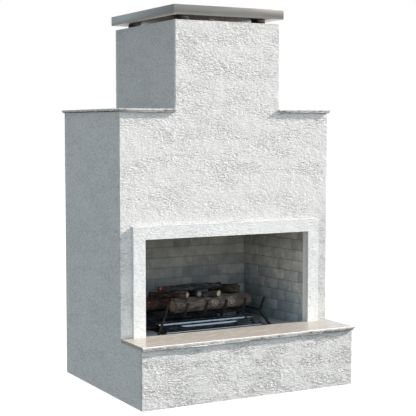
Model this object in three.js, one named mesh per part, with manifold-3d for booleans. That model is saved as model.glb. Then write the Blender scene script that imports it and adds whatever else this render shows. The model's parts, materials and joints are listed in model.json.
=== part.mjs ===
// Outdoor gas fireplace: a stucco-faced cabinet on a steel frame, with a raised hearth, a brick-lined
// firebox, a flue in a chimney, and a burner under a grate of ceramic logs.
// Lengths are in millimetres. X runs to the right, Y from front to back and Z up.
// The layout is measured from the middle of the width, the stucco face of the hearth and the ground.
import * as THREE from 'three';
import Module from 'manifold-3d';
import { mergeVertices } from 'three/addons/utils/BufferGeometryUtils.js';

const wasm = await Module();
wasm.setup();

// Cabinet
const bodyWidth = 1219;
const bodyDepth = 738;
const bodyHeight = 1432;
const hearthProjection = 247;
const hearthHeight = 291;
const chimneyWidth = 606;
const chimneyRise = 460;
const wallThickness = 19;

// Gap between pieces that are not fastened face to face, and how far a cutting tool runs past its work
const seatGap = 0.3;
const cutOverrun = 5;

// Stone slabs with hand-chiselled edges
const hearthSlabThickness = 18;
const shoulderSlabThickness = 15;
const slabOverhang = 13;
const chiselDepth = 2.5;
const chiselSpacing = 30;

// Opening and its stucco surround
const openingSideMargin = 127.5;
const openingHeight = 489;
const surroundFaceWidth = 66;
const surroundProjection = 20;
const surroundReturnDepth = 32;
const surroundReturnThickness = 12;
const lintelThickness = 4;
const lintelLeg = 40;
const lintelShelf = 60;

// Brick-lined firebox
const fireboxBackClearance = 110;
const fireboxSplayDegrees = 6.5;
const mouthMargin = 3;
const floorDrop = 27;
const floorThickness = 38;
const liningThickness = 45;
const headerHeight = 47;
const brickLength = 118;
const brickHeight = 58.5;
const mortarWidth = 4;
const mortarDepth = 3;
const firstMortarHeight = 32;
const backBondOffset = 20.5;
const sideBondOffset = 51;

// Steel frame inside the cabinet
const baseChannelSize = 50;
const baseChannelThickness = 3;
const postLeg = 40;
const postThickness = 3;
const deckThickness = 19;
const platformSheet = 3;
const platformSideMargin = 2.5;
const platformBackMargin = 20;

// Smoke hood and flue
const smokeHoodSheet = 3;
const smokeHoodDeckGap = 112;
const smokeHoodCollarMargin = 18;
const smokeHoodMouthInset = 4;
const flueDiameter = 254;
const flueWall = 3;
const flueClearance = 4;
const flueStandProud = 8;
const flueSides = 32;

// Chimney cap on four feet
const topPlateThickness = 3;
const capGap = 24;
const capHeight = 49;
const capOverhang = 18;
const capSheet = 3;
const soffitThickness = 6;
const footWidth = 48;
const footDepth = 62;
const footWall = 4;
const footInset = 53;

// Burner under the grate
const trayWidthShare = 0.6525;
const traySetback = 100;
const trayBackMargin = 132;
const traySheet = 3;
const burnerHoodSideMargin = 23.5;
const burnerHoodSetback = 2;
const burnerHoodBackMargin = 8;
const burnerHoodHeight = 42;
const burnerHoodSheet = 2.5;
const flameSlotGap = 18;
const flameSlotWidth = 8;
const flameSlotCount = 9;
const burnerTubeDiameter = 22;
const burnerTubeWall = 2;
const burnerTubeEndMargin = 20;
const burnerPortDiameter = 6;
const burnerNotchClearance = 2;

// Valve box with its knob and igniter button
const valveBoxWidth = 82;
const valveBoxDepth = 90;
const valveBoxHeight = 70;
const valveBoxFrontReach = 52.65;
const valveBoxMargin = 5;
const valveBoxCorner = 4;
const controlMargin = 9;
const boreClearance = 0.4;
const knobDiameter = 34;
const knobLength = 20;
const knobStandOff = 2;
const knobStemDiameter = 8;
const knobStemLength = 18;
const knobFluteDepth = 1.6;
const knobFluteCount = 12;
const knobGripWidth = 9;
const knobGripHeight = 7;
const buttonDiameter = 14;
const buttonStandOff = 9;
const buttonInsertion = 12;
const buttonTravel = 6;

// Gas supply pipe
const pipeDiameter = 21.3;
const pipeBore = 15.8;
const pipeHeight = 150;
const pipeBendRadius = 40;
const pipeHoleClearance = 8;
const couplingDiameter = 34;
const couplingLength = 32;

// Grate of bent square bars
const barSize = 11;
const barCount = 6;
const barHeight = 75;
const barSetback = 129;
const grateSideMargin = 24.5;
const grateBackMargin = 82;
const barBendRadius = 14;
const prongRise = 75;
const prongLean = 44;
const legSplay = 47;
const legLean = 24;
const railOverrun = 8;
const railShares = [0.536, 0.91];

// Ceramic logs, in their sizes for a grate of a nominal width and run: thickest radii and reaches beyond
// what they rest on, then the depth of the moulded seats and the relief of the bark
const nominalGrateWidth = 580;
const nominalGrateRun = 321;
const frontLogRadius = 42;
const rearLogRadius = 36;
const crossLogRadius = 17;
const chunkLogRadius = 17.5;
const longLogRadius = 14;
const longLogSwell = 5;
const endLogRadius = 27;
const logTaper = 1.5;
const logSeatDepth = 2.5;
const barkRelief = 1.5;
const logSides = 14;
const logRings = 12;
const crossLogFrontReach = 62;
const crossLogRearReach = 12;
const longLogLeftReach = 76;
const longLogRightReach = 159;
const endLogFrontReach = 8;
const endLogRearReach = 10;
const chunkLogLeanDegrees = 27;

// Places of the logs. On the grate they are shares of its width, from the middle, and of its run, from
// the front bend. On another log they are shares of that log's length, from its first end.
const frontLogShares = [[-0.354, 0.234], [0.486, 0.364]];
const rearLogShares = [[-0.592, 0.738], [0.277, 0.723]];
const leftCrossLogShares = [0.069, 0.177];
const middleCrossLogShares = [0.314, 0.656];
const longLogShares = [0.427, 0.447];
const endLogShares = [0.839, 0.944];
const chunkLogShares = [0.356, 0.629];

// Stepped outline of the burner hood: shares of its depth and of its height
const burnerStepShares = [
  [0, 0], [0.083, 0.55], [0.134, 0.55], [0.155, 0.66], [0.29, 0.66], [0.33, 0.82], [0.64, 0.82],
  [0.68, 1], [0.94, 1], [1, 0],
];
const flameSlotDepthShare = 0.485;

// Sizes worked out from those above
const openingWidth = bodyWidth - 2 * openingSideMargin;
const fireboxDepth = bodyDepth - wallThickness - fireboxBackClearance - liningThickness - surroundReturnDepth;
const smokeHoodTopWidth = flueDiameter + 2 * smokeHoodCollarMargin;
const trayWidth = openingWidth * trayWidthShare;
const trayDepth = fireboxDepth - traySetback - trayBackMargin;
const burnerHoodWidth = trayWidth - 2 * burnerHoodSideMargin;
const burnerHoodDepth = trayDepth - burnerHoodSetback - burnerHoodBackMargin;
const flameSlotPitch = burnerHoodWidth / (flameSlotCount + 1);
const flameSlotLength = flameSlotPitch - flameSlotGap;
const barSpacing = (trayWidth - 2 * grateSideMargin) / (barCount - 1);
const barRun = fireboxDepth - barSetback - grateBackMargin;
const halfGrate = barSpacing * (barCount - 1) / 2;
const logScale = Math.min(2 * halfGrate / nominalGrateWidth, barRun / nominalGrateRun);

// Places worked out from the sizes
const halfBody = bodyWidth / 2;
const halfChimney = chimneyWidth / 2;
const halfInner = halfBody - wallThickness;
const halfChimneyInner = halfChimney - wallThickness;
const bodyFront = hearthProjection;
const bodyBack = bodyFront + bodyDepth;
const innerFront = bodyFront + wallThickness;
const innerBack = bodyBack - wallThickness;
const chimneyTop = bodyHeight + chimneyRise;
const slabTop = hearthHeight + hearthSlabThickness;
const halfOpening = openingWidth / 2;
const openingTop = slabTop + openingHeight;
const mouthBack = bodyFront + surroundReturnDepth;
const sleeveTop = openingTop + surroundReturnThickness;
const floorTop = slabTop - floorDrop;
const platformTop = floorTop - floorThickness;
const liningTop = sleeveTop + lintelThickness + headerHeight;
const liningHeight = liningTop - platformTop;
const fireboxBack = mouthBack + fireboxDepth;
const splay = THREE.MathUtils.degToRad(fireboxSplayDegrees);
const halfMouth = halfOpening + mouthMargin;
const flueCentre = bodyFront + bodyDepth / 2;
const smokeHoodTop = bodyHeight - deckThickness - smokeHoodDeckGap;
const flueTop = chimneyTop + flueStandProud;
const deckHoleRadius = flueDiameter / 2 + flueClearance;
const trayFront = mouthBack + traySetback;
const trayTop = floorTop + traySheet;
const hoodFront = trayFront + burnerHoodSetback;
const burnerLine = hoodFront + burnerHoodDepth * flameSlotDepthShare;
const barFront = mouthBack + barSetback;
const barTop = floorTop + barHeight + barSize;

// Half the clear width between the splayed firebox walls at a distance from front to back
function halfWidthAt(y) {
  return halfMouth - (y - mouthBack) * Math.tan(splay);
}

// The valve box stands at the left of the burner, beside the splayed wall, with the burner tube in its side
const valveFront = burnerLine - valveBoxFrontReach;
const valveBack = valveFront + valveBoxDepth;
const valveLeft = -halfWidthAt(valveBack) + valveBoxMargin;
const valveRight = valveLeft + valveBoxWidth;
const pipeX = (valveLeft + valveRight) / 2;
const pipeY = (valveFront + valveBack) / 2;
const pipeHoleRadius = (pipeDiameter + pipeHoleClearance) / 2;

// Solids and booleans

function toManifold(geometry) {
  const bare = geometry.clone();
  bare.deleteAttribute('normal');
  bare.deleteAttribute('uv');
  const merged = mergeVertices(bare);
  const vertProperties = new Float32Array(merged.attributes.position.array);
  const triVerts = new Uint32Array(merged.index.array);
  return new wasm.Manifold(new wasm.Mesh({ numProp: 3, vertProperties, triVerts }));
}

function toGeometry(manifold) {
  const result = manifold.getMesh();
  const geometry = new THREE.BufferGeometry();
  geometry.setAttribute('position', new THREE.BufferAttribute(new Float32Array(result.vertProperties), 3));
  geometry.setIndex(new THREE.BufferAttribute(new Uint32Array(result.triVerts), 1));
  geometry.computeVertexNormals();
  return geometry;
}

function join(first, ...others) {
  return toGeometry(others.reduce((sum, other) => sum.add(toManifold(other)), toManifold(first)));
}

function cut(first, ...tools) {
  return toGeometry(tools.reduce((rest, tool) => rest.subtract(toManifold(tool)), toManifold(first)));
}

function keepInside(first, second) {
  return toGeometry(toManifold(first).intersect(toManifold(second)));
}

function box(left, right, front, back, bottom, top) {
  const geometry = new THREE.BoxGeometry(right - left, back - front, top - bottom);
  return geometry.translate((left + right) / 2, (front + back) / 2, (bottom + top) / 2);
}

function shapeFrom(points, holes = []) {
  const shape = new THREE.Shape(points.map(([a, b]) => new THREE.Vector2(a, b)));
  shape.holes.push(...holes);
  return shape;
}

function roundHole(a, b, radius) {
  const hole = new THREE.Path();
  hole.absarc(a, b, radius, 0, 2 * Math.PI, true);
  return hole;
}

// An outline drawn in X and Y, pulled up from bottom to top
function plateAlongZ(shape, bottom, top) {
  const settings = { depth: top - bottom, bevelEnabled: false, curveSegments: flueSides / 2 };
  return new THREE.ExtrudeGeometry(shape, settings).translate(0, 0, bottom);
}

// An outline drawn in X and Z, pulled back from front to back
function plateAlongY(shape, front, back) {
  const settings = { depth: back - front, bevelEnabled: false, curveSegments: flueSides / 2 };
  return new THREE.ExtrudeGeometry(shape, settings).rotateX(Math.PI / 2).translate(0, back, 0);
}

// An outline drawn in Y and Z, pulled across from left to right
function plateAlongX(shape, left, right) {
  const geometry = new THREE.ExtrudeGeometry(shape, { depth: right - left, bevelEnabled: false });
  const axes = new THREE.Matrix4().makeBasis(
    new THREE.Vector3(0, 1, 0),
    new THREE.Vector3(0, 0, 1),
    new THREE.Vector3(1, 0, 0),
  );
  return geometry.applyMatrix4(axes).translate(left, 0, 0);
}

function rodAlongX(y, z, radius, left, right, sides) {
  const geometry = new THREE.CylinderGeometry(radius, radius, right - left, sides);
  return geometry.rotateZ(Math.PI / 2).translate((left + right) / 2, y, z);
}

function rodAlongY(x, z, radius, front, back, sides) {
  const geometry = new THREE.CylinderGeometry(radius, radius, back - front, sides);
  return geometry.translate(x, (front + back) / 2, z);
}

function rodAlongZ(x, y, radius, bottom, top, sides) {
  const geometry = new THREE.CylinderGeometry(radius, radius, top - bottom, sides);
  return geometry.rotateX(Math.PI / 2).translate(x, y, (bottom + top) / 2);
}

// Triangles over one flat ring, facing the side from which its points run anticlockwise
function capTriangles(ring) {
  const centre = ring.reduce((sum, point) => sum.add(point), new THREE.Vector3()).divideScalar(ring.length);
  const spokes = ring.map((point) => point.clone().sub(centre));
  const normal = new THREE.Vector3();
  spokes.forEach((spoke, i) => normal.add(spoke.clone().cross(spokes[(i + 1) % spokes.length])));
  normal.normalize();
  const across = spokes[0].clone().addScaledVector(normal, -spokes[0].dot(normal)).normalize();
  const upward = normal.clone().cross(across);
  const contour = spokes.map((spoke) => new THREE.Vector2(spoke.dot(across), spoke.dot(upward)));
  return THREE.ShapeUtils.triangulateShape(contour, []);
}

// A closed body through rings of equally many points. Each ring runs anticlockwise, seen from the last one.
function loft(rings) {
  const count = rings[0].length;
  const positions = rings.flat().flatMap((point) => [point.x, point.y, point.z]);
  const indices = [];
  for (let ring = 0; ring < rings.length - 1; ring += 1) {
    for (let i = 0; i < count; i += 1) {
      const a = ring * count + i;
      const b = ring * count + (i + 1) % count;
      indices.push(a, b, b + count, a, b + count, a + count);
    }
  }
  const lastStart = (rings.length - 1) * count;
  capTriangles(rings[0]).forEach(([a, b, c]) => indices.push(a, c, b));
  capTriangles(rings[rings.length - 1]).forEach((corners) => {
    indices.push(...corners.map((corner) => corner + lastStart));
  });
  const geometry = new THREE.BufferGeometry();
  geometry.setAttribute('position', new THREE.Float32BufferAttribute(positions, 3));
  geometry.setIndex(indices);
  geometry.computeVertexNormals();
  return geometry;
}

// Points of a route through corners, with each inner corner rounded to a bend radius
function bentRoute(corners, radius, steps) {
  const points = [corners[0].clone()];
  for (let i = 1; i < corners.length - 1; i += 1) {
    const arriving = corners[i].clone().sub(corners[i - 1]).normalize();
    const leaving = corners[i + 1].clone().sub(corners[i]).normalize();
    const turn = arriving.angleTo(leaving);
    const inward = leaving.clone().addScaledVector(arriving, -arriving.dot(leaving)).normalize();
    const start = corners[i].clone().addScaledVector(arriving, -radius * Math.tan(turn / 2));
    for (let step = 0; step <= steps; step += 1) {
      const angle = turn * step / steps;
      const point = start.clone().addScaledVector(arriving, radius * Math.sin(angle));
      points.push(point.addScaledVector(inward, radius * (1 - Math.cos(angle))));
    }
  }
  points.push(corners[corners.length - 1].clone());
  return points;
}

// A section carried along a route and mitred where the route turns. The section's points are measured along
// the side direction and square to it.
function sweep(route, section, side) {
  const rings = route.map((point, i) => {
    const arriving = point.clone().sub(route[Math.max(i - 1, 0)]).normalize();
    const leaving = route[Math.min(i + 1, route.length - 1)].clone().sub(point).normalize();
    const tangent = arriving.clone().add(leaving).normalize();
    const across = side.clone().addScaledVector(tangent, -side.dot(tangent)).normalize();
    const upward = tangent.clone().cross(across);
    const stretch = 1 / Math.max(tangent.dot(arriving), tangent.dot(leaving));
    return section.map(([a, b]) => {
      const place = point.clone().addScaledVector(across, a);
      return place.addScaledVector(upward, b * stretch);
    });
  });
  return loft(rings);
}

function squareSection(size) {
  const half = size / 2;
  return [[half, -half], [half, half], [-half, half], [-half, -half]];
}

function roundSection(radius, sides) {
  return Array.from({ length: sides }, (_, i) => {
    const angle = 2 * Math.PI * i / sides;
    return [radius * Math.cos(angle), radius * Math.sin(angle)];
  });
}

// A value between 0 and 1 that is always the same for the same two numbers
function scatter(a, b) {
  const wave = Math.sin(12.9898 * a + 78.233 * b) * 43758.5453;
  return wave - Math.floor(wave);
}

// Materials

function finish(color, roughness, metalness = 0) {
  return new THREE.MeshStandardMaterial({ color, roughness, metalness });
}

const stucco = finish('#e8e8e4', 0.95);
const travertine = finish('#cbbfb0', 0.35);
const firebrick = finish('#8c8c86', 0.95);
const cementBoard = finish('#a9a9a4', 0.9);
const galvanisedSteel = finish('#9aa0a4', 0.45, 1);
const capSteel = finish('#96968e', 0.4, 1);
const blackSteel = finish('#15130f', 0.6, 0.6);
const blackEnamel = finish('#0d1318', 0.15, 0.2);
const blackPlastic = finish('#161616', 0.5);
const blackIron = finish('#26262a', 0.6, 0.8);
const barkCeramic = finish('#5c4c42', 0.95);
const charcoalCeramic = finish('#26262a', 0.95);

// The assemblies that the pieces belong to
const part = new THREE.Group();
const frame = new THREE.Group();
const cabinet = new THREE.Group();
const firebox = new THREE.Group();
const chimney = new THREE.Group();
const burner = new THREE.Group();
const grate = new THREE.Group();
part.add(frame, cabinet, firebox, chimney, burner, grate);

function addPiece(group, name, geometry, material) {
  const piece = new THREE.Mesh(geometry, material);
  piece.name = name;
  group.add(piece);
  return piece;
}

// Steel frame

// A welded ring of channel, open towards the middle
function baseRing() {
  const ringAt = (inset, bottom, top) => box(
    -halfInner + inset, halfInner - inset, wallThickness + inset, innerBack - inset, bottom, top,
  );
  const middle = ringAt(baseChannelSize, -cutOverrun, baseChannelSize + cutOverrun);
  const groove = ringAt(baseChannelThickness, baseChannelThickness, baseChannelSize - baseChannelThickness);
  return cut(ringAt(0, 0, baseChannelSize), middle, groove);
}

// An angle section with its corner at the origin and its legs along +X and +Y
function angleBar(length) {
  const section = shapeFrom([
    [0, 0],
    [postLeg, 0],
    [postLeg, postThickness],
    [postThickness, postThickness],
    [postThickness, postLeg],
    [0, postLeg],
  ]);
  return plateAlongZ(section, 0, length);
}

// Four angles in the inner corners of a box
function addCornerPosts(prefix, group, halfWidth, front, back, bottom, top) {
  const corners = [
    ['front_left', -halfWidth, front, 0],
    ['front_right', halfWidth, front, Math.PI / 2],
    ['rear_right', halfWidth, back, Math.PI],
    ['rear_left', -halfWidth, back, -Math.PI / 2],
  ];
  corners.forEach(([corner, x, y, turn]) => {
    const post = addPiece(group, `${prefix}_${corner}`, angleBar(top - bottom), galvanisedSteel);
    post.position.set(x, y, bottom);
    post.rotation.z = turn;
  });
}

function shoulderDeck() {
  const outline = shapeFrom([
    [-halfInner, innerFront],
    [halfInner, innerFront],
    [halfInner, innerBack],
    [-halfInner, innerBack],
  ], [roundHole(0, flueCentre, deckHoleRadius)]);
  return plateAlongZ(outline, bodyHeight - deckThickness, bodyHeight);
}

// A folded sheet stand, open below, that carries the firebox over the base ring
function fireboxPlatform() {
  const halfWidth = halfInner - postLeg - platformSideMargin;
  const back = fireboxBack + liningThickness + platformBackMargin;
  const outside = box(-halfWidth, halfWidth, bodyFront, back, baseChannelSize, platformTop);
  const inside = box(
    -halfWidth + platformSheet,
    halfWidth - platformSheet,
    bodyFront + platformSheet,
    back - platformSheet,
    baseChannelSize - cutOverrun,
    platformTop - platformSheet,
  );
  const rearHole = rodAlongY(pipeX, pipeHeight, pipeHoleRadius, pipeY, back + cutOverrun, flueSides);
  const topHole = rodAlongZ(pipeX, pipeY, pipeHoleRadius, pipeHeight, platformTop + cutOverrun, flueSides);
  return cut(outside, inside, rearHole, topHole);
}

addPiece(frame, 'base_frame', baseRing(), galvanisedSteel);
addCornerPosts('post', frame, halfInner, innerFront, innerBack, baseChannelSize, bodyHeight - deckThickness);
addPiece(frame, 'shoulder_deck', shoulderDeck(), cementBoard);
addPiece(frame, 'firebox_platform', fireboxPlatform(), galvanisedSteel);
addCornerPosts(
  'chimney_post',
  chimney,
  halfChimneyInner,
  innerFront,
  innerBack,
  bodyHeight,
  chimneyTop - topPlateThickness,
);

// Cabinet walls of stucco-faced backer board

// The outline of a wall that rises from the ground or the hearth to the top of the chimney
function steppedOutline(bottomPoints) {
  return [
    ...bottomPoints,
    [halfBody, bodyHeight],
    [halfChimney, bodyHeight],
    [halfChimney, chimneyTop],
    [-halfChimney, chimneyTop],
    [-halfChimney, bodyHeight],
    [-halfBody, bodyHeight],
  ];
}

function frontWall() {
  const halfCutout = halfOpening + surroundReturnThickness;
  const outline = steppedOutline([
    [-halfBody, hearthHeight],
    [-halfCutout, hearthHeight],
    [-halfCutout, sleeveTop],
    [halfCutout, sleeveTop],
    [halfCutout, hearthHeight],
    [halfBody, hearthHeight],
  ]);
  return plateAlongY(shapeFrom(outline), bodyFront, innerFront);
}

function rearWall() {
  const hole = roundHole(pipeX, pipeHeight, (couplingDiameter + pipeHoleClearance) / 2);
  const outline = steppedOutline([[-halfBody, 0], [halfBody, 0]]);
  return plateAlongY(shapeFrom(outline, [hole]), innerBack, bodyBack);
}

function sideWall(left) {
  const outline = shapeFrom([
    [wallThickness, 0],
    [innerBack, 0],
    [innerBack, bodyHeight],
    [innerFront, bodyHeight],
    [innerFront, hearthHeight],
    [wallThickness, hearthHeight],
  ]);
  return plateAlongX(outline, left, left + wallThickness);
}

function chimneySideWall(left) {
  return box(left, left + wallThickness, innerFront, innerBack, bodyHeight, chimneyTop);
}

// Points from one corner of a slab to the next, set back a little at random from the straight edge
function chiselledEdge(from, to, inward, seed) {
  const start = new THREE.Vector2(...from);
  const end = new THREE.Vector2(...to);
  const steps = Math.max(2, Math.round(start.distanceTo(end) / chiselSpacing));
  return Array.from({ length: steps }, (_, i) => {
    const depth = i === 0 ? 0 : chiselDepth * scatter(seed, i);
    const point = start.clone().lerp(end, i / steps);
    return [point.x + inward[0] * depth, point.y + inward[1] * depth];
  });
}

// A slab whose lower and upper edges are chipped differently. The outline is given for a seed.
function chiselledSlab(outlineFor, bottom, top) {
  const lower = outlineFor(1).map(([x, y]) => new THREE.Vector3(x, y, bottom));
  const upper = outlineFor(2).map(([x, y]) => new THREE.Vector3(x, y, top));
  return loft([lower, upper]);
}

// The hearth slab is flush with the left wall and overhangs to the front and the right
function hearthSlab() {
  const right = halfBody + slabOverhang;
  const outlineFor = (seed) => [
    ...chiselledEdge([-halfBody, -slabOverhang], [right, -slabOverhang], [0, 1], seed),
    ...chiselledEdge([right, -slabOverhang], [right, bodyFront], [-1, 0], seed + 2),
    [right, bodyFront],
    [-halfBody, bodyFront],
  ];
  return chiselledSlab(outlineFor, hearthHeight, slabTop);
}

// One slab covers each shoulder, from the side of the chimney out over the wall
function shoulderSlab() {
  const right = halfBody + slabOverhang;
  const front = bodyFront - slabOverhang;
  const back = bodyBack + slabOverhang;
  const outlineFor = (seed) => [
    ...chiselledEdge([halfChimney, front], [right, front], [0, 1], seed + 4),
    ...chiselledEdge([right, front], [right, back], [-1, 0], seed + 6),
    ...chiselledEdge([right, back], [halfChimney, back], [0, -1], seed + 8),
    [halfChimney, back],
  ];
  return chiselledSlab(outlineFor, 0, shoulderSlabThickness);
}

// A picture-frame band on the face, with a sleeve that lines the cut-out in the front wall
function openingSurround() {
  const arch = (thickness, bottom) => shapeFrom([
    [-halfOpening - thickness, bottom],
    [-halfOpening, bottom],
    [-halfOpening, openingTop],
    [halfOpening, openingTop],
    [halfOpening, bottom],
    [halfOpening + thickness, bottom],
    [halfOpening + thickness, openingTop + thickness],
    [-halfOpening - thickness, openingTop + thickness],
  ]);
  const band = plateAlongY(arch(surroundFaceWidth, slabTop), bodyFront - surroundProjection, bodyFront);
  const sleeve = plateAlongY(arch(surroundReturnThickness, floorTop), bodyFront, mouthBack);
  return join(band, sleeve);
}

addPiece(cabinet, 'front_wall', frontWall(), stucco);
addPiece(cabinet, 'rear_wall', rearWall(), stucco);
addPiece(cabinet, 'left_wall', sideWall(-halfBody), stucco);
addPiece(cabinet, 'right_wall', sideWall(halfInner), stucco);
addPiece(cabinet, 'hearth_front_wall', box(-halfBody, halfBody, 0, wallThickness, 0, hearthHeight), stucco);
addPiece(
  cabinet,
  'hearth_deck',
  box(-halfInner, halfInner, wallThickness, bodyFront, hearthHeight - deckThickness, hearthHeight),
  cementBoard,
);
addPiece(cabinet, 'hearth_slab', hearthSlab(), travertine);
const rightShoulder = addPiece(cabinet, 'shoulder_slab_right', shoulderSlab(), travertine);
rightShoulder.position.z = bodyHeight;
const leftShoulder = addPiece(cabinet, 'shoulder_slab_left', shoulderSlab(), travertine);
leftShoulder.position.set(0, 2 * flueCentre, bodyHeight);
leftShoulder.rotation.z = Math.PI;
addPiece(cabinet, 'opening_surround', openingSurround(), stucco);

// Firebox

// An angle that carries the header over the opening. Its face leg spans between the front posts.
function lintel() {
  const halfSpan = halfInner - postLeg;
  const shelfBack = innerFront + lintelShelf;
  const halfShelf = halfWidthAt(shelfBack) - seatGap;
  const legBack = innerFront + lintelThickness;
  const faceLeg = box(-halfSpan, halfSpan, innerFront, legBack, sleeveTop, sleeveTop + lintelLeg);
  const shelf = box(-halfShelf, halfShelf, innerFront, shelfBack, sleeveTop, sleeveTop + lintelThickness);
  return join(faceLeg, shelf);
}

// A board between the splayed walls, seen from above as a trapezium
function splayedOutline(front, back) {
  const frontHalf = halfWidthAt(Math.max(front, mouthBack)) - seatGap;
  const backHalf = halfWidthAt(back) - seatGap;
  return [[-frontHalf, front], [frontHalf, front], [backHalf, back], [-backHalf, back]];
}

function fireboxHeader() {
  const front = mouthBack + seatGap;
  const outline = splayedOutline(front, front + liningThickness);
  return plateAlongZ(shapeFrom(outline), sleeveTop + lintelThickness, liningTop);
}

// The floor starts behind the hearth slab and narrows between the walls behind the mouth
function fireboxFloor() {
  const halfFront = halfMouth - seatGap;
  const backHalf = halfWidthAt(fireboxBack - seatGap) - seatGap;
  const outline = [
    [-halfFront, bodyFront + seatGap],
    [halfFront, bodyFront + seatGap],
    [halfFront, mouthBack],
    [backHalf, fireboxBack - seatGap],
    [-backHalf, fireboxBack - seatGap],
    [-halfFront, mouthBack],
  ];
  return plateAlongZ(shapeFrom(outline, [roundHole(pipeX, pipeY, pipeHoleRadius)]), platformTop, floorTop);
}

// A lining panel cast as bricks in a running bond. Its brick face is at Y zero and faces -Y. The plan is its
// outline seen from above, and bondStart is the place of an upright joint in the first full course.
function brickPanel(plan, bondStart) {
  const length = Math.max(...plan.map(([x]) => x));
  const start = Math.min(...plan.map(([x]) => x));
  const half = mortarWidth / 2;
  const blocks = [box(
    start - cutOverrun,
    length + cutOverrun,
    mortarDepth,
    liningThickness + cutOverrun,
    -cutOverrun,
    liningHeight + cutOverrun,
  )];
  const courseCount = Math.floor((liningHeight - firstMortarHeight) / brickHeight);
  for (let course = -1; course < courseCount; course += 1) {
    const bottom = firstMortarHeight + course * brickHeight;
    const shift = course % 2 === 0 ? 0 : brickLength / 2;
    const firstJoint = (bondStart + shift) % brickLength - brickLength;
    for (let x = firstJoint; x < length; x += brickLength) {
      blocks.push(box(
        x + half, x + brickLength - half, 0, 2 * mortarDepth, bottom + half, bottom + brickHeight - half,
      ));
    }
  }
  return keepInside(join(...blocks), plateAlongZ(shapeFrom(plan), 0, liningHeight));
}

// The plan of a side panel with its ends parallel to the back wall. The lean is the sideways shift of its
// ends over its thickness.
function sidePanelPlan(lean) {
  const start = seatGap / Math.cos(splay);
  const end = (fireboxDepth - seatGap) / Math.cos(splay);
  return [[start, 0], [end, 0], [end + lean, liningThickness], [start + lean, liningThickness]];
}

function addLining() {
  const sideLength = fireboxDepth / Math.cos(splay);
  const lean = liningThickness * Math.tan(splay);
  const turn = Math.PI / 2 - splay;
  const left = addPiece(firebox, 'firebox_left', brickPanel(sidePanelPlan(-lean), sideBondOffset), firebrick);
  left.position.set(-halfMouth, mouthBack, platformTop);
  left.rotation.z = turn;

  const rightBond = (sideLength - sideBondOffset) % brickLength;
  const right = addPiece(firebox, 'firebox_right', brickPanel(sidePanelPlan(lean), rightBond), firebrick);
  right.position.set(halfWidthAt(fireboxBack), fireboxBack, platformTop);
  right.rotation.z = -turn;

  const halfBack = halfWidthAt(fireboxBack) + liningThickness;
  const backPlan = [[0, 0], [2 * halfBack, 0], [2 * halfBack, liningThickness], [0, liningThickness]];
  const backBond = (halfBack + backBondOffset) % brickLength;
  const back = addPiece(firebox, 'firebox_back', brickPanel(backPlan, backBond), firebrick);
  back.position.set(-halfBack, fireboxBack, platformTop);
}

addPiece(firebox, 'lintel_angle', lintel(), galvanisedSteel);
addPiece(firebox, 'firebox_header', fireboxHeader(), firebrick);
addPiece(firebox, 'firebox_floor', fireboxFloor(), firebrick);
addLining();

// Smoke hood, flue and chimney

function level(halfWidth, front, back, z) {
  return [
    new THREE.Vector3(-halfWidth, front, z),
    new THREE.Vector3(halfWidth, front, z),
    new THREE.Vector3(halfWidth, back, z),
    new THREE.Vector3(-halfWidth, back, z),
  ];
}

// A flange on the lining carries a tapered hood with a collar hole for the flue in its top
function smokeHood() {
  const halfLower = halfWidthAt(fireboxBack) - smokeHoodMouthInset;
  const halfUpper = smokeHoodTopWidth / 2;
  const front = mouthBack + seatGap + liningThickness + smokeHoodMouthInset;
  const back = fireboxBack - smokeHoodMouthInset;
  const sheet = smokeHoodSheet;
  const outside = loft([
    level(halfLower + sheet, front - sheet, back + sheet, liningTop),
    level(halfUpper, flueCentre - halfUpper, flueCentre + halfUpper, smokeHoodTop),
  ]);
  const halfInside = halfUpper - sheet;
  const inside = loft([
    level(halfLower, front, back, liningTop - cutOverrun),
    level(halfLower, front, back, liningTop),
    level(halfInside, flueCentre - halfInside, flueCentre + halfInside, smokeHoodTop - sheet),
  ]);
  const halfFlange = halfMouth + liningThickness;
  const flangeFront = mouthBack + seatGap;
  const flangeBack = fireboxBack + liningThickness;
  const flange = box(-halfFlange, halfFlange, flangeFront, flangeBack, liningTop, liningTop + sheet);
  const collarHole = rodAlongZ(
    0,
    flueCentre,
    flueDiameter / 2 - flueWall,
    smokeHoodTop - sheet - cutOverrun,
    smokeHoodTop + cutOverrun,
    flueSides,
  );
  return cut(join(flange, outside), inside, collarHole);
}

function fluePipe() {
  const radius = flueDiameter / 2;
  const outside = rodAlongZ(0, flueCentre, radius, smokeHoodTop, flueTop, flueSides);
  const inside = rodAlongZ(
    0, flueCentre, radius - flueWall, smokeHoodTop - cutOverrun, flueTop + cutOverrun, flueSides,
  );
  return cut(outside, inside);
}

function chimneyTopPlate() {
  const outline = shapeFrom([
    [-halfChimneyInner, innerFront],
    [halfChimneyInner, innerFront],
    [halfChimneyInner, innerBack],
    [-halfChimneyInner, innerBack],
  ], [roundHole(0, flueCentre, deckHoleRadius)]);
  return plateAlongZ(outline, chimneyTop - topPlateThickness, chimneyTop);
}

const capBottom = chimneyTop + capGap;
const capTop = capBottom + capHeight;

// A box with its sides drawn in by an inset from the cap's outer faces
function capBlock(inset, bottom, top) {
  const reach = capOverhang - inset;
  const halfWidth = halfChimney + reach;
  return box(-halfWidth, halfWidth, bodyFront - reach, bodyBack + reach, bottom, top);
}

function addCap() {
  const cavity = capBlock(capSheet, capBottom - cutOverrun, capTop - capSheet);
  addPiece(chimney, 'chimney_cap', cut(capBlock(0, capBottom, capTop), cavity), capSteel);
  addPiece(chimney, 'cap_soffit', capBlock(capSheet, capBottom, capBottom + soffitThickness), capSteel);
}

// A short length of box tube, standing on end
function capFoot() {
  const outside = box(0, footWidth, 0, footDepth, 0, capGap);
  const inside = box(
    footWall, footWidth - footWall, footWall, footDepth - footWall, -cutOverrun, capGap + cutOverrun,
  );
  return cut(outside, inside);
}

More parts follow.
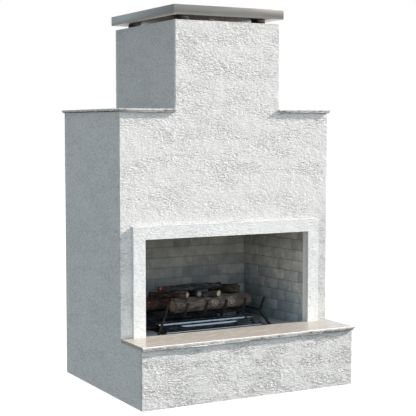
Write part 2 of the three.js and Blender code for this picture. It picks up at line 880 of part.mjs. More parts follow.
function addCapFeet() {
  const left = -halfChimney + footInset;
  const right = halfChimney - footInset - footWidth;
  const front = bodyFront + footInset;
  const rear = bodyBack - footInset - footDepth;
  const places = [['front_left', left, front], ['front_right', right, front], ['rear_left', left, rear],
    ['rear_right', right, rear]];
  places.forEach(([corner, x, y]) => {
    addPiece(chimney, `cap_foot_${corner}`, capFoot(), blackSteel).position.set(x, y, chimneyTop);
  });
}

addPiece(firebox, 'smoke_hood', smokeHood(), galvanisedSteel);
addPiece(chimney, 'flue_pipe', fluePipe(), galvanisedSteel);
addPiece(chimney, 'chimney_left_wall', chimneySideWall(-halfChimney), stucco);
addPiece(chimney, 'chimney_right_wall', chimneySideWall(halfChimneyInner), stucco);
addPiece(chimney, 'chimney_top_plate', chimneyTopPlate(), galvanisedSteel);
addCap();
addCapFeet();

// Burner

const burnerTubeRadius = burnerTubeDiameter / 2;
const burnerTubeHeight = trayTop + burnerTubeRadius + seatGap;
const flameSlotCentres = Array.from(
  { length: flameSlotCount },
  (_, i) => (i - (flameSlotCount - 1) / 2) * flameSlotPitch,
);

// The stepped outline in Y and Z, with the sheet's thickness taken off when it is drawn for the inside
function burnerOutline(sheet) {
  const depth = burnerHoodDepth - 2 * sheet;
  const height = burnerHoodHeight - sheet;
  return burnerStepShares.map(([a, b]) => [hoodFront + sheet + a * depth, trayTop + b * height]);
}

// A pressed hood, open below, with stepped treads, a row of flame slots and a notch for the burner tube
function burnerHood() {
  const halfWidth = burnerHoodWidth / 2;
  const halfInside = halfWidth - burnerHoodSheet;
  const outside = plateAlongX(shapeFrom(burnerOutline(0)), -halfWidth, halfWidth);
  const steps = burnerOutline(burnerHoodSheet);
  const below = trayTop - cutOverrun;
  const inner = [[steps[0][0], below], ...steps, [steps[steps.length - 1][0], below]];
  const inside = plateAlongX(shapeFrom(inner.reverse()), -halfInside, halfInside);
  const slots = flameSlotCentres.map((x) => box(
    x - flameSlotLength / 2,
    x + flameSlotLength / 2,
    burnerLine - flameSlotWidth / 2,
    burnerLine + flameSlotWidth / 2,
    trayTop + cutOverrun,
    trayTop + burnerHoodHeight + cutOverrun,
  ));
  const reach = burnerTubeRadius + burnerNotchClearance;
  const notch = box(
    -halfWidth - cutOverrun,
    -halfWidth + cutOverrun,
    burnerLine - reach,
    burnerLine + reach,
    trayTop - cutOverrun,
    burnerTubeHeight + reach,
  );
  return cut(outside, inside, notch, ...slots);
}

// A tube closed at its far end, with a gas port under each flame slot
function burnerTube() {
  const end = burnerHoodWidth / 2 - burnerTubeEndMargin;
  const outside = rodAlongX(burnerLine, burnerTubeHeight, burnerTubeRadius, valveRight, end, flueSides / 2);
  const bore = rodAlongX(
    burnerLine,
    burnerTubeHeight,
    burnerTubeRadius - burnerTubeWall,
    valveRight - cutOverrun,
    end - burnerTubeWall,
    flueSides / 2,
  );
  const ports = flameSlotCentres.map((x) => rodAlongZ(
    x, burnerLine, burnerPortDiameter / 2, burnerTubeHeight, burnerTubeHeight + burnerTubeDiameter, 8,
  ));
  return cut(outside, bore, ...ports);
}

// Rounded box with a bore for the knob's stem and one for the igniter button
const controlHeight = floorTop + valveBoxHeight / 2;
const knobX = valveLeft + controlMargin + knobDiameter / 2;
const buttonX = valveRight - controlMargin - buttonDiameter / 2;

function valveBox() {
  const [low, high] = [floorTop, floorTop + valveBoxHeight];
  const corner = valveBoxCorner;
  const outline = new THREE.Shape();
  outline.moveTo(valveLeft, low);
  outline.lineTo(valveRight, low);
  outline.lineTo(valveRight, high - corner);
  outline.absarc(valveRight - corner, high - corner, corner, 0, Math.PI / 2);
  outline.lineTo(valveLeft + corner, high);
  outline.absarc(valveLeft + corner, high - corner, corner, Math.PI / 2, Math.PI);
  const depth = valveBack - valveFront;
  const casing = new THREE.ExtrudeGeometry(outline, { depth, bevelEnabled: false, curveSegments: 4 });
  casing.rotateX(Math.PI / 2).translate(0, valveBack, 0);
  const front = valveFront - cutOverrun;
  const stemBore = rodAlongY(
    knobX,
    controlHeight,
    knobStemDiameter / 2 + boreClearance,
    front,
    valveFront + knobStemLength + knobStandOff,
    flueSides / 2,
  );
  const buttonBore = rodAlongY(
    buttonX,
    controlHeight,
    buttonDiameter / 2 + boreClearance,
    front,
    valveFront + buttonInsertion + buttonTravel + knobStandOff,
    flueSides / 2,
  );
  return cut(casing, stemBore, buttonBore);
}

// A fluted knob with a grip bar across its face and a stem behind. Its axis is the local Y axis.
function gasKnob() {
  const rim = knobDiameter / 2;
  const points = Array.from({ length: 4 * knobFluteCount }, (_, i) => {
    const angle = 2 * Math.PI * i / (4 * knobFluteCount);
    const radius = rim - knobFluteDepth * (1 - Math.cos(knobFluteCount * angle)) / 2;
    return [radius * Math.cos(angle), radius * Math.sin(angle)];
  });
  const face = -knobStandOff - knobLength + knobGripHeight;
  const skirt = plateAlongY(shapeFrom(points), face, -knobStandOff);
  const halfGrip = knobGripWidth / 2;
  const grip = box(-halfGrip, halfGrip, face - knobGripHeight, -knobStandOff, halfGrip - rim, rim);
  const withinRim = rodAlongY(0, 0, rim - knobFluteDepth, face - cutOverrun - knobGripHeight, 0, flueSides);
  const stem = rodAlongY(0, 0, knobStemDiameter / 2, face, knobStemLength, flueSides / 2);
  return join(skirt, keepInside(grip, withinRim), stem);
}

// The supply pipe comes in through the rear wall and turns up into the valve box
function gasSupplyPipe() {
  const couplingMiddle = bodyBack - couplingLength / 2;
  const routeFrom = (rear, top) => bentRoute([
    new THREE.Vector3(pipeX, rear, pipeHeight),
    new THREE.Vector3(pipeX, pipeY, pipeHeight),
    new THREE.Vector3(pipeX, pipeY, top),
  ], pipeBendRadius, 6);
  const side = new THREE.Vector3(1, 0, 0);
  const sides = flueSides / 2;
  const pipe = sweep(routeFrom(couplingMiddle, floorTop), roundSection(pipeDiameter / 2, sides), side);
  const boreRoute = routeFrom(bodyBack + cutOverrun, floorTop + cutOverrun);
  const bore = sweep(boreRoute, roundSection(pipeBore / 2, sides), side);
  const couplingEnd = bodyBack - couplingLength;
  const coupling = rodAlongY(pipeX, pipeHeight, couplingDiameter / 2, couplingEnd, bodyBack, sides);
  const socket = rodAlongY(pipeX, pipeHeight, pipeDiameter / 2, couplingMiddle, bodyBack + cutOverrun, sides);
  return cut(join(pipe, coupling), bore, socket);
}

addPiece(
  burner,
  'burner_tray',
  box(-trayWidth / 2, trayWidth / 2, trayFront, trayFront + trayDepth, floorTop, trayTop),
  blackSteel,
);
addPiece(burner, 'burner_hood', burnerHood(), blackEnamel);
addPiece(burner, 'burner_tube', burnerTube(), blackSteel);
addPiece(burner, 'gas_valve_box', valveBox(), blackSteel);
addPiece(burner, 'gas_knob', gasKnob(), blackPlastic).position.set(knobX, valveFront, controlHeight);
const button = addPiece(
  burner,
  'igniter_button',
  rodAlongY(0, 0, buttonDiameter / 2, -buttonStandOff, buttonInsertion, flueSides / 2),
  blackPlastic,
);
button.position.set(buttonX, valveFront, controlHeight);
addPiece(burner, 'gas_supply_pipe', gasSupplyPipe(), blackIron);

// Grate

const barLevel = barTop - barSize / 2;
const barBack = barFront + barRun;
const barSide = new THREE.Vector3(1, 0, 0);

// One bar with a prong bent up at each end. On an end bar, legs splay out from both bends.
function grateBar(x, splaySign) {
  const tipLevel = barLevel + prongRise;
  const corners = [
    new THREE.Vector3(x, barFront - prongLean, tipLevel),
    new THREE.Vector3(x, barFront, barLevel),
    new THREE.Vector3(x, barBack, barLevel),
    new THREE.Vector3(x, barBack + prongLean, tipLevel),
  ];
  const bar = sweep(bentRoute(corners, barBendRadius, 3), squareSection(barSize), barSide);
  if (splaySign === 0) {
    return bar;
  }
  const legs = [[barFront, -legLean], [barBack, legLean]].map(([y, lean]) => {
    const top = new THREE.Vector3(x, y, barLevel);
    const foot = new THREE.Vector3(x + splaySign * legSplay, y + lean, floorTop);
    const below = foot.clone().lerp(top, -cutOverrun / barHeight);
    return sweep([top, below], squareSection(barSize), barSide);
  });
  return cut(join(bar, ...legs), slabUnderGrate(floorTop - barHeight, floorTop + seatGap));
}

// A block that reaches well past the grate on all four sides, to cut its pieces level
function slabUnderGrate(bottom, top) {
  const reach = halfGrate + barRun;
  return box(-reach, reach, barFront - barRun, barBack + barRun, bottom, top);
}

for (let i = 0; i < barCount; i += 1) {
  const splaySign = i === 0 ? -1 : Number(i === barCount - 1);
  const x = -halfGrate + i * barSpacing;
  addPiece(grate, `grate_bar_${i + 1}`, grateBar(x, splaySign), blackSteel);
}
['front', 'rear'].forEach((place, i) => {
  const y = barFront + railShares[i] * barRun;
  const half = halfGrate + railOverrun;
  const rail = box(-half, half, y - barSize / 2, y + barSize / 2, barTop - 2 * barSize, barTop - barSize);
  addPiece(grate, `grate_rail_${place}`, rail, blackSteel);
});

// Logs

// A log from one point to another: its radius tapers or swells along it, and its bark is rough
function logOf(start, end, startRadius, endRadius, swell, seed) {
  return { start, end, startRadius, endRadius, swell, seed };
}

function logCentre(log, share) {
  return log.start.clone().lerp(log.end, share);
}

function logRadius(log, share) {
  const base = log.startRadius + (log.endRadius - log.startRadius) * share;
  return base + log.swell * Math.sin(Math.PI * THREE.MathUtils.clamp(share, 0, 1));
}

// The solid of a log, grown all round by a clearance when it is used to mould a seat
function logSolid(log, growth = 0) {
  const axis = log.end.clone().sub(log.start).normalize();
  const across = new THREE.Vector3(0, 0, 1).cross(axis).normalize();
  const upward = axis.clone().cross(across);
  const rings = [];
  for (let ring = 0; ring < logRings; ring += 1) {
    const share = ring / (logRings - 1);
    const centre = logCentre(log, share);
    if (growth > 0 && (ring === 0 || ring === logRings - 1)) {
      centre.addScaledVector(axis, ring === 0 ? -growth : growth);
    }
    const points = [];
    for (let i = 0; i < logSides; i += 1) {
      const angle = 2 * Math.PI * i / logSides;
      const bark = barkRelief * (scatter(log.seed + i, ring) - 1);
      const radius = logRadius(log, share) + bark + growth;
      const point = centre.clone().addScaledVector(across, radius * Math.cos(angle));
      points.push(point.addScaledVector(upward, radius * Math.sin(angle)));
    }
    rings.push(points);
  }
  return loft(rings);
}

// A point above the grate, from shares of its width and run
function onGrate([across, along], radius) {
  return new THREE.Vector3(
    across * barSpacing * (barCount - 1),
    barFront + along * barRun,
    barTop + radius - barkRelief,
  );
}

function logOnGrate([first, last], startRadius, endRadius, seed) {
  return logOf(onGrate(first, startRadius), onGrate(last, endRadius), startRadius, endRadius, 0, seed);
}

// A log laid over two others. The shares give where it crosses each, and the reaches how far it runs on.
function logAcross(first, second, shares, radius, reaches, seed, swell = 0) {
  const seatOn = (lower, share) => {
    const place = logCentre(lower, share);
    place.z += logRadius(lower, share) + radius + swell - logSeatDepth;
    return place;
  };
  const near = seatOn(first, shares[0]);
  const far = seatOn(second, shares[1]);
  const axis = far.clone().sub(near).normalize();
  const start = near.clone().addScaledVector(axis, -reaches[0]);
  const end = far.clone().addScaledVector(axis, reaches[1]);
  return logOf(start, end, radius - logTaper, radius, swell, seed);
}

// A short log that lies along a lower one, leaning to its front
function logAlong(lower, shares, radius, seed) {
  const lean = THREE.MathUtils.degToRad(chunkLogLeanDegrees);
  const place = (share) => {
    const offset = logRadius(lower, share) + radius - logSeatDepth;
    const centre = logCentre(lower, share);
    return centre.add(new THREE.Vector3(0, -offset * Math.sin(lean), offset * Math.cos(lean)));
  };
  return logOf(place(shares[0]), place(shares[1]), radius, radius, 0, seed);
}

function seatedOn(log, ...lowers) {
  return cut(logSolid(log), ...lowers.map((lower) => logSolid(lower, seatGap)));
}

// The two big logs are moulded flat where they lie on the bars
function seatedOnBars(log) {
  return cut(logSolid(log), slabUnderGrate(floorTop, barTop + seatGap));
}

// A log's nominal sizes, brought to the size of this grate
function scaled(...sizes) {
  return sizes.map((size) => size * logScale);
}

const frontLog = logOnGrate(
  frontLogShares, ...scaled(frontLogRadius + logTaper, frontLogRadius - logTaper), 11,
);
const rearLog = logOnGrate(
  rearLogShares, ...scaled(rearLogRadius + logTaper, rearLogRadius - logTaper), 23,
);
const [crossRadius, endRadius, chunkRadius] = scaled(crossLogRadius, endLogRadius, chunkLogRadius);
const crossReaches = scaled(crossLogFrontReach, crossLogRearReach);
const leftCross = logAcross(frontLog, rearLog, leftCrossLogShares, crossRadius, crossReaches, 37);
const middleCross = logAcross(frontLog, rearLog, middleCrossLogShares, crossRadius, crossReaches, 41);
const endReaches = scaled(endLogFrontReach, endLogRearReach);
const endLog = logAcross(frontLog, rearLog, endLogShares, endRadius, endReaches, 53);
const chunkLog = logAlong(frontLog, chunkLogShares, chunkRadius, 61);
const longReaches = scaled(longLogLeftReach, longLogRightReach);
const [longRadius, longSwell] = scaled(longLogRadius, longLogSwell);
const longLog = logAcross(leftCross, middleCross, longLogShares, longRadius, longReaches, 71, longSwell);

addPiece(grate, 'log_front', seatedOnBars(frontLog), barkCeramic);
addPiece(grate, 'log_rear', seatedOnBars(rearLog), barkCeramic);
addPiece(grate, 'log_cross_left', seatedOn(leftCross, frontLog, rearLog), barkCeramic);
addPiece(grate, 'log_cross_middle', seatedOn(middleCross, frontLog, rearLog), barkCeramic);
addPiece(grate, 'log_upper_right', seatedOn(endLog, frontLog, rearLog), barkCeramic);
addPiece(grate, 'log_upper_front', seatedOn(chunkLog, frontLog), barkCeramic);
addPiece(grate, 'log_upper_long', seatedOn(longLog, leftCross, middleCross), charcoalCeramic);

// The origin is on the ground, under the middle of the whole object
part.position.y = (slabOverhang - bodyBack - capOverhang) / 2;

export default part;
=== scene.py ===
import json
import math

import bmesh
import bpy
import numpy as np
from mathutils import Matrix, Vector, noise

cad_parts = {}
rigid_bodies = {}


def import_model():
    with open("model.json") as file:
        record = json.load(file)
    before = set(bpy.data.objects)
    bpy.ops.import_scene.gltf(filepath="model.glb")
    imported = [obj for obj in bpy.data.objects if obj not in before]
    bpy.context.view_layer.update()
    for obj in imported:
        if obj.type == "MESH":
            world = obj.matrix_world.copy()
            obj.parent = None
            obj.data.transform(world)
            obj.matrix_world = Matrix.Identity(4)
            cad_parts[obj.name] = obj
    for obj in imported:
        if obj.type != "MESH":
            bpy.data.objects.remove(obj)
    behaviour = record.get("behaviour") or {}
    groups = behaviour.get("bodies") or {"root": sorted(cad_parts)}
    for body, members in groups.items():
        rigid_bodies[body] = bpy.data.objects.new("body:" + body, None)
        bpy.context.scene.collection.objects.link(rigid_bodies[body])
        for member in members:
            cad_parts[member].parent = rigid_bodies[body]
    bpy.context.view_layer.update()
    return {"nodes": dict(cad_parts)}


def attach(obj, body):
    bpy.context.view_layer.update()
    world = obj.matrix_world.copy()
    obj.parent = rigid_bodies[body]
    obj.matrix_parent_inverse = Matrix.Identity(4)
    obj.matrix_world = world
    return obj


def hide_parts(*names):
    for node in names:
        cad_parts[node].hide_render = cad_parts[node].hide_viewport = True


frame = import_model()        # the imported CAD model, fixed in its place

nodes = frame["nodes"]
quarter = math.pi / 2
close = 1e-4        # metres, within which two places count as one


# Camera, light and floor

view = {        # solved from the straight edges in the photo
    "place": (-2.8165, -5.229, 1.356),
    "tilt": -0.0728,        # radians, below level
    "pan": -0.4963,        # radians, to the right
    "lens": 96.08,
    "sensor": 36,
}
bpy.ops.object.camera_add(location=view["place"], rotation=(quarter + view["tilt"], 0, view["pan"]))
camera = bpy.context.object
camera.data.lens = view["lens"]
camera.data.sensor_width = view["sensor"]
bpy.context.scene.camera = camera


def linearColour(code, alpha=1):
    # An sRGB hex code as Blender's linear colour
    channels = [int(code[i:i + 2], 16) / 255 for i in (1, 3, 5)]
    return [c / 12.92 if c <= 0.04045 else ((c + 0.055) / 1.055) ** 2.4 for c in channels] + [alpha]


def addNode(tree, kind, sockets=None, **settings):
    # One shader node with its settings, and its sockets set or linked. A node given for a socket stands for
    # its first live output.
    node = tree.nodes.new("ShaderNode" + kind)
    for name, value in settings.items():
        if name == "stops":        # of a colour ramp, as places and colours or grey values
            while len(node.color_ramp.elements) < len(value):
                node.color_ramp.elements.new(1)
            for element, (place, shade) in zip(node.color_ramp.elements, value):
                element.position = place
                element.color = linearColour(shade) if isinstance(shade, str) else (shade, shade, shade, 1)
        else:
            setattr(node, name, value)
    for name, value in (sockets or {}).items():
        if isinstance(value, bpy.types.Node):
            value = next(output for output in value.outputs if output.enabled)
        if isinstance(value, bpy.types.NodeSocket):
            tree.links.new(value, node.inputs[name])
        else:
            node.inputs[name].default_value = value
    return node


def newFinish(name):
    # An empty material, its nodes, and the place on the object in metres
    material = bpy.data.materials.new(name)
    material.use_nodes = True
    material.node_tree.nodes.clear()
    return material, material.node_tree, addNode(material.node_tree, "TexCoord").outputs["Object"]


def shaded(material, sockets):
    # Ends a material with one principled shader
    tree = material.node_tree
    addNode(tree, "OutputMaterial", {"Surface": addNode(tree, "BsdfPrincipled", sockets)})
    return material


light = {
    "sunTravel": (-1, 0.165, -0.6),        # low from the right, so it grazes the front
    "sunStrength": 8.8,
    "sunColour": "#fff2ec",
    "sunWidth": 1.2,        # degrees across
    "screened": 2.0,        # the sun's strength on the two walls that face it
    "sky": [        # what fills the shade, from the open ground in front to the sky behind
        (0.0, "#d6dada"), (0.25, "#c7c9c8"), (0.5, "#6f7476"), (0.75, "#8e9699"), (1.0, "#c8d3da"),
    ],
    "height": [        # and by height: a dark ground under a bright sky, bluer higher up
        (0.0, "#5c5a56"), (0.49, "#6e6c68"), (0.52, "#dde1e4"), (0.8, "#f3f7fd"),
    ],
    "skyStrength": 2.05,
    "backdrop": "#ffffff",
}


def addSun(strength):
    bpy.ops.object.light_add(type="SUN")
    lamp = bpy.context.object
    lamp.rotation_euler = Vector(light["sunTravel"]).to_track_quat("-Z", "Y").to_euler()
    lamp.data.energy = strength
    lamp.data.color = linearColour(light["sunColour"])[:3]
    lamp.data.angle = math.radians(light["sunWidth"])
    return lamp


sun = addSun(light["sunStrength"])
screenedSun = addSun(light["screened"])

world = bpy.data.worlds.new("pale studio")
world.use_nodes = True
air = world.node_tree
air.nodes.clear()
parts = addNode(air, "SeparateXYZ", {0: addNode(air, "TexCoord").outputs["Generated"]})
tints = []
for axis, stops in (("Y", "sky"), ("Z", "height")):
    share = addNode(air, "MapRange", {0: parts.outputs[axis], 1: -1.0, 2: 1.0})
    tints.append(addNode(air, "ValToRGB", {0: share}, stops=light[stops]))
skyColour = addNode(air, "Mix", {0: 1.0, 6: tints[0], 7: tints[1]}, data_type="RGBA", blend_type="MULTIPLY")
sky = addNode(air, "Background", {"Color": skyColour, "Strength": light["skyStrength"]})
backdrop = addNode(air, "Background", {"Color": linearColour(light["backdrop"])})
seen = addNode(air, "LightPath").outputs["Is Camera Ray"]
addNode(air, "OutputWorld", {"Surface": addNode(air, "MixShader", {0: seen, 1: sky, 2: backdrop})})
bpy.context.scene.world = world
bpy.context.scene.view_settings.view_transform = "Standard"

ground = {
    "size": 40,
    "drop": 0.0005,        # so that the floor and the part's foot don't lie in one plane
    "colour": "#b4b4b4",
    "glow": 0.9,        # light of its own, so that it has no edge against the backdrop
}
bpy.ops.mesh.primitive_plane_add(size=ground["size"], location=(0, 0, -ground["drop"]))
floor = bpy.context.object
floor.name = "studio_floor"
floor.visible_diffuse = False        # so that it throws no light back at the walls
floor.data.materials.append(shaded(newFinish("pale studio floor")[0], {
    "Base Color": linearColour(ground["colour"]),
    "Roughness": 1,
    "Specular IOR Level": 0,
    "Emission Color": linearColour("#ffffff"),
    "Emission Strength": ground["glow"],
}))
print("stage: camera, light and floor")


# Finishes

# Acrylic stucco, dashed on and knocked flat with a trowel: matt and off-white, with patches of short
# ragged marks, longer than high, and fine sand all over, drawn coarser than it is so that it shows.
# The marks' grooves are also painted darker, which is painted shade.
def stuccoFinish(name, marked, tones, shadedBeside=False):
    material, tree, place = newFinish(name)
    drawn = addNode(tree, "Mapping", {"Vector": place, "Scale": (0.36, 0.36, 1)})
    trowel = addNode(tree, "TexNoise", {
        "Vector": drawn,
        "Scale": 1 / 0.0105,        # metres between marks, upwards
        "Detail": 2,
        "Roughness": 0.5,
        "Distortion": 0.6,
    })
    ridge = addNode(tree, "Math", {0: trowel, 1: 0.5}, operation="SUBTRACT")
    ridge = addNode(tree, "Math", {0: ridge}, operation="ABSOLUTE")
    cuts = addNode(tree, "MapRange", {0: ridge, 1: 0.02, 2: 0.08, 3: 1.0, 4: 0.0})
    patches = addNode(tree, "TexNoise", {"Vector": drawn, "Scale": 1 / 0.06, "Detail": 3})
    worked = addNode(tree, "MapRange", {0: patches, 1: 0.43, 2: 0.58, 3: 0.18, 4: 1.0})
    dashes = addNode(tree, "Math", {0: cuts, 1: worked}, operation="MULTIPLY")
    sand = addNode(tree, "TexNoise", {
        "Vector": addNode(tree, "Mapping", {"Vector": place, "Scale": (0.55, 0.55, 1)}),
        "Scale": 1 / 0.0075,
        "Detail": 3,
        "Roughness": 0.75,
    })
    height = addNode(tree, "Math", {0: dashes, 1: -0.6 * marked, 2: sand}, operation="MULTIPLY_ADD")
    grains = addNode(tree, "MapRange", {0: sand, 1: 0.3, 2: 0.56, 3: 0.55, 4: 0.0})
    # The sand's own tone, plus painted shade that darkens the marks' grooves
    sandAndPaintedShade = addNode(tree, "Math", {0: dashes, 1: 0.4 * marked, 2: grains}, operation="MULTIPLY_ADD")
    if shadedBeside:        # painted shade: the wall right of the surround is darker, fading out above the band's top
        parts = addNode(tree, "SeparateXYZ", {0: place})
        beside = addNode(tree, "MapRange", {0: parts.outputs["X"], 1: 0.54, 2: 0.55, 3: 0.0, 4: 0.32})
        under = addNode(tree, "MapRange", {0: parts.outputs["Z"], 1: 0.8, 2: 1.0, 3: 1.0, 4: 0.0})
        sandAndPaintedShade = addNode(tree, "Math", {0: beside, 1: under, 2: sandAndPaintedShade}, operation="MULTIPLY_ADD")
    dark, pale = linearColour(tones[0]), linearColour(tones[1])
    return shaded(material, {
        "Base Color": addNode(tree, "Mix", {0: sandAndPaintedShade, 6: pale, 7: dark}, data_type="RGBA"),
        "Roughness": 0.95,
        "Specular IOR Level": 0.15,
        "Normal": addNode(tree, "Bump", {"Height": height, "Distance": 0.0022}),
    })


# Travertine, sawn and polished: beige with faint paler veins, and a soft gloss from less than stone's IOR
def polishedStone():
    material, tree, place = newFinish("polished travertine")
    drawn = addNode(tree, "Mapping", {"Vector": place, "Scale": (0.5, 1.4, 1.4)})
    veins = addNode(tree, "TexNoise", {
        "Vector": drawn,
        "Scale": 1 / 0.09,
        "Detail": 5,
        "Roughness": 0.6,
        "Distortion": 1.1,
    })
    base = addNode(tree, "ValToRGB", {0: veins}, stops=[
        (0.3, "#a4a097"), (0.46, "#9b978f"), (0.5, "#adaba4"), (0.56, "#98958c"), (0.75, "#a6a29a"),
    ])
    pores = addNode(tree, "TexNoise", {"Vector": drawn, "Scale": 1 / 0.006, "Detail": 3})
    # Painted shade: the pores, which the bump sets lower, are darker
    specks = addNode(tree, "ValToRGB", {0: pores}, stops=[(0.3, 0.78), (0.4, 1.0)])
    return shaded(material, {
        "Base Color": addNode(tree, "Mix", {0: 1.0, 6: base, 7: specks}, data_type="RGBA",
                              blend_type="MULTIPLY"),
        "Roughness": 0.13,
        "IOR": 1.22,
        "Normal": addNode(tree, "Bump", {"Height": specks, "Distance": 0.0002, "Strength": 0.3}),
    })


# Travertine, split with a chisel: matt and nearly white, its pits painted dark as painted shade
def chiselledStone():
    material, tree, place = newFinish("chiselled travertine edge")
    chips = addNode(tree, "TexNoise", {"Vector": place, "Scale": 1 / 0.012, "Detail": 4, "Roughness": 0.65})
    return shaded(material, {
        "Base Color": addNode(tree, "ValToRGB", {0: chips}, stops=[
            (0.28, "#aeaba6"), (0.36, "#e8e6e2"), (0.6, "#fcfbf9"),
        ]),
        "Roughness": 0.85,
        "Normal": addNode(tree, "Bump", {"Height": chips, "Distance": 0.004, "Strength": 0.9}),
    })


# Cast refractory brick, sooty: matt and warm grey, each brick of its own tone, with darker joints and a grit
# drawn as coarse as it needs to show
def brickFinish(name, flat=False):
    material, tree, place = newFinish(name)
    if flat:
        tone = addNode(tree, "TexNoise", {"Vector": place, "Scale": 1 / 0.12, "Detail": 3})
    else:
        tone = addNode(tree, "Attribute", attribute_name="brickTone").outputs["Fac"]
    brick = addNode(tree, "ValToRGB", {0: tone}, stops=[
        (0.0, "#aaaaa4"), (0.15, "#e2e1d9"), (0.3, "#b6b6b0"), (0.6, "#c9c8c2"), (1.0, "#dad7ce"),
    ])
    smoke = addNode(tree, "TexNoise", {"Vector": place, "Scale": 1 / 0.05, "Detail": 6, "Roughness": 0.65})
    stain = addNode(tree, "ValToRGB", {0: smoke}, stops=[(0.32, 0.7), (0.6, 1.0)])
    colour = addNode(tree, "Mix", {0: 1.0, 6: brick, 7: stain}, data_type="RGBA", blend_type="MULTIPLY")
    # Painted shade lies near the floor, blue-grey and darkest at the back, and the low courses are tinted
    # blue as painted sky light
    parts = addNode(tree, "SeparateXYZ", {0: place})
    low = addNode(tree, "MapRange", {0: parts.outputs["Z"], 1: 0.3, 2: 0.62, 3: 1.0, 4: 0.0})
    deep = addNode(tree, "MapRange", {0: parts.outputs["Y"], 1: -0.15, 2: 0.25, 3: 0.12, 4: 0.8})
    shadeNearFloor = addNode(tree, "Math", {0: low, 1: deep}, operation="MULTIPLY")
    colour = addNode(tree, "Mix", {0: shadeNearFloor, 6: colour, 7: linearColour("#3d4c59")}, data_type="RGBA")
    grit = addNode(tree, "TexNoise", {"Vector": place, "Scale": 1 / 0.006, "Detail": 4})
    return shaded(material, {
        "Base Color": addNode(tree, "Mix", {0: low, 6: colour, 7: linearColour("#dff0ff")},
                              data_type="RGBA", blend_type="MULTIPLY"),
        "Roughness": 0.95,
        "Specular IOR Level": 0.2,
        "Normal": addNode(tree, "Bump", {"Height": grit, "Distance": 0.0012, "Strength": 0.7}),
    })


# Cement backer board: flat grey with a faint speckle, drawn as coarse as it needs to show
def boardFinish():
    material, tree, place = newFinish("cement backer board")
    speckle = addNode(tree, "TexNoise", {"Vector": place, "Scale": 1 / 0.005, "Detail": 3})
    return shaded(material, {
        "Base Color": addNode(tree, "ValToRGB", {0: speckle}, stops=[(0.3, "#8e8e8a"), (0.7, "#b3b3ae")]),
        "Roughness": 0.9,
    })


# Sheet or bar metal. The grain, in metres, is the zinc's spangle, the sheet's mottle or the bite of its
# coating, and a fine one is drawn as coarse as it needs to show.
def metalFinish(name, colours, roughness, grain, stretch=(1, 1, 1), metallic=1.0, bite=0.0, coat=None):
    material, tree, place = newFinish(name)
    spangle = addNode(tree, "TexNoise", {
        "Vector": addNode(tree, "Mapping", {"Vector": place, "Scale": stretch}),
        "Scale": 1 / grain,
        "Detail": 4,
        "Roughness": 0.6,
    })
    sockets = {
        "Base Color": addNode(tree, "ValToRGB", {0: spangle}, stops=list(zip((0.32, 0.66), colours))),
        "Metallic": metallic,
        "Roughness": addNode(tree, "MapRange", {
            0: spangle, 1: 0.3, 2: 0.7, 3: roughness[0], 4: roughness[1],
        }),
        **(coat or {}),
    }
    if bite:
        sockets["Normal"] = addNode(tree, "Bump", {"Height": spangle, "Distance": bite, "Strength": 0.5})
    return shaded(material, sockets)


# Cast ceramic log: bark in long ridges, growth rings on the sawn ends, and embers painted in the cracks.
# It follows the log by an attribute with the place before the log was turned.
def logFinish(name, bark, end, embers, emberReach):
    material, tree, _ = newFinish(name)
    grain = addNode(tree, "Attribute", attribute_name="grainPlace").outputs["Vector"]
    sawn = addNode(tree, "Attribute", attribute_name="sawnEnd").outputs["Fac"]
    ridges = addNode(tree, "TexNoise", {
        "Vector": addNode(tree, "Mapping", {"Vector": grain, "Scale": (1, 1, 0.22)}),
        "Scale": 1 / 0.011,
        "Detail": 5,
        "Roughness": 0.65,
        "Distortion": 0.5,
    })
    skin = addNode(tree, "ValToRGB", {0: ridges}, stops=list(zip((0.3, 0.5, 0.64, 0.78), bark)))
    patches = addNode(tree, "TexNoise", {"Vector": grain, "Scale": 1 / 0.05, "Detail": 3})
    sooty = addNode(tree, "ValToRGB", {0: patches}, stops=[(0.35, 0.55), (0.6, 1.0)])
    skin = addNode(tree, "Mix", {0: 1.0, 6: skin, 7: sooty}, data_type="RGBA", blend_type="MULTIPLY")
    cracks = addNode(tree, "TexNoise", {"Vector": grain, "Scale": 1 / 0.03, "Detail": 3, "Distortion": 1.5})
    glow = addNode(tree, "ValToRGB", {0: cracks}, stops=[(0.56, 0.0), (0.62, 1.0)])
    along = addNode(tree, "SeparateXYZ", {0: grain}).outputs["Z"]
    near = addNode(tree, "MapRange", {0: along, 1: emberReach[0], 2: emberReach[1], 3: 1.0, 4: 0.0})
    painted = addNode(tree, "Math", {0: glow, 1: near}, operation="MULTIPLY")
    body = addNode(tree, "Mix", {0: painted, 6: skin, 7: linearColour(embers)}, data_type="RGBA")
    # A pale eye and a pale ring at each knot
    reach = addNode(tree, "Attribute", attribute_name="knotReach").outputs["Fac"]
    reach = addNode(tree, "Math", {0: reach, 1: 0.5}, operation="MULTIPLY")
    pale = addNode(tree, "ValToRGB", {0: reach}, stops=[
        (0.12, 0.0), (0.2, 0.55), (0.27, 0.05), (0.38, 0.1), (0.47, 0.5), (0.56, 0.0),
    ])
    body = addNode(tree, "Mix", {0: pale, 6: body, 7: linearColour("#c9bdae")}, data_type="RGBA")
    rings = addNode(tree, "TexWave", {
        "Vector": addNode(tree, "Mapping", {"Vector": grain, "Scale": (1, 1, 0)}),
        "Scale": 1 / 0.03,
        "Distortion": 2.5,
        "Detail": 2,
    }, wave_type="RINGS", rings_direction="Z").outputs["Fac"]
    wood = addNode(tree, "ValToRGB", {0: rings}, stops=list(zip((0.2, 0.8), end)))
    return shaded(material, {
        "Base Color": addNode(tree, "Mix", {0: sawn, 6: body, 7: wood}, data_type="RGBA"),
        "Roughness": 0.9,
        "Specular IOR Level": 0.25,
        "Normal": addNode(tree, "Bump", {"Height": ridges, "Distance": 0.003, "Strength": 0.8}),
    })


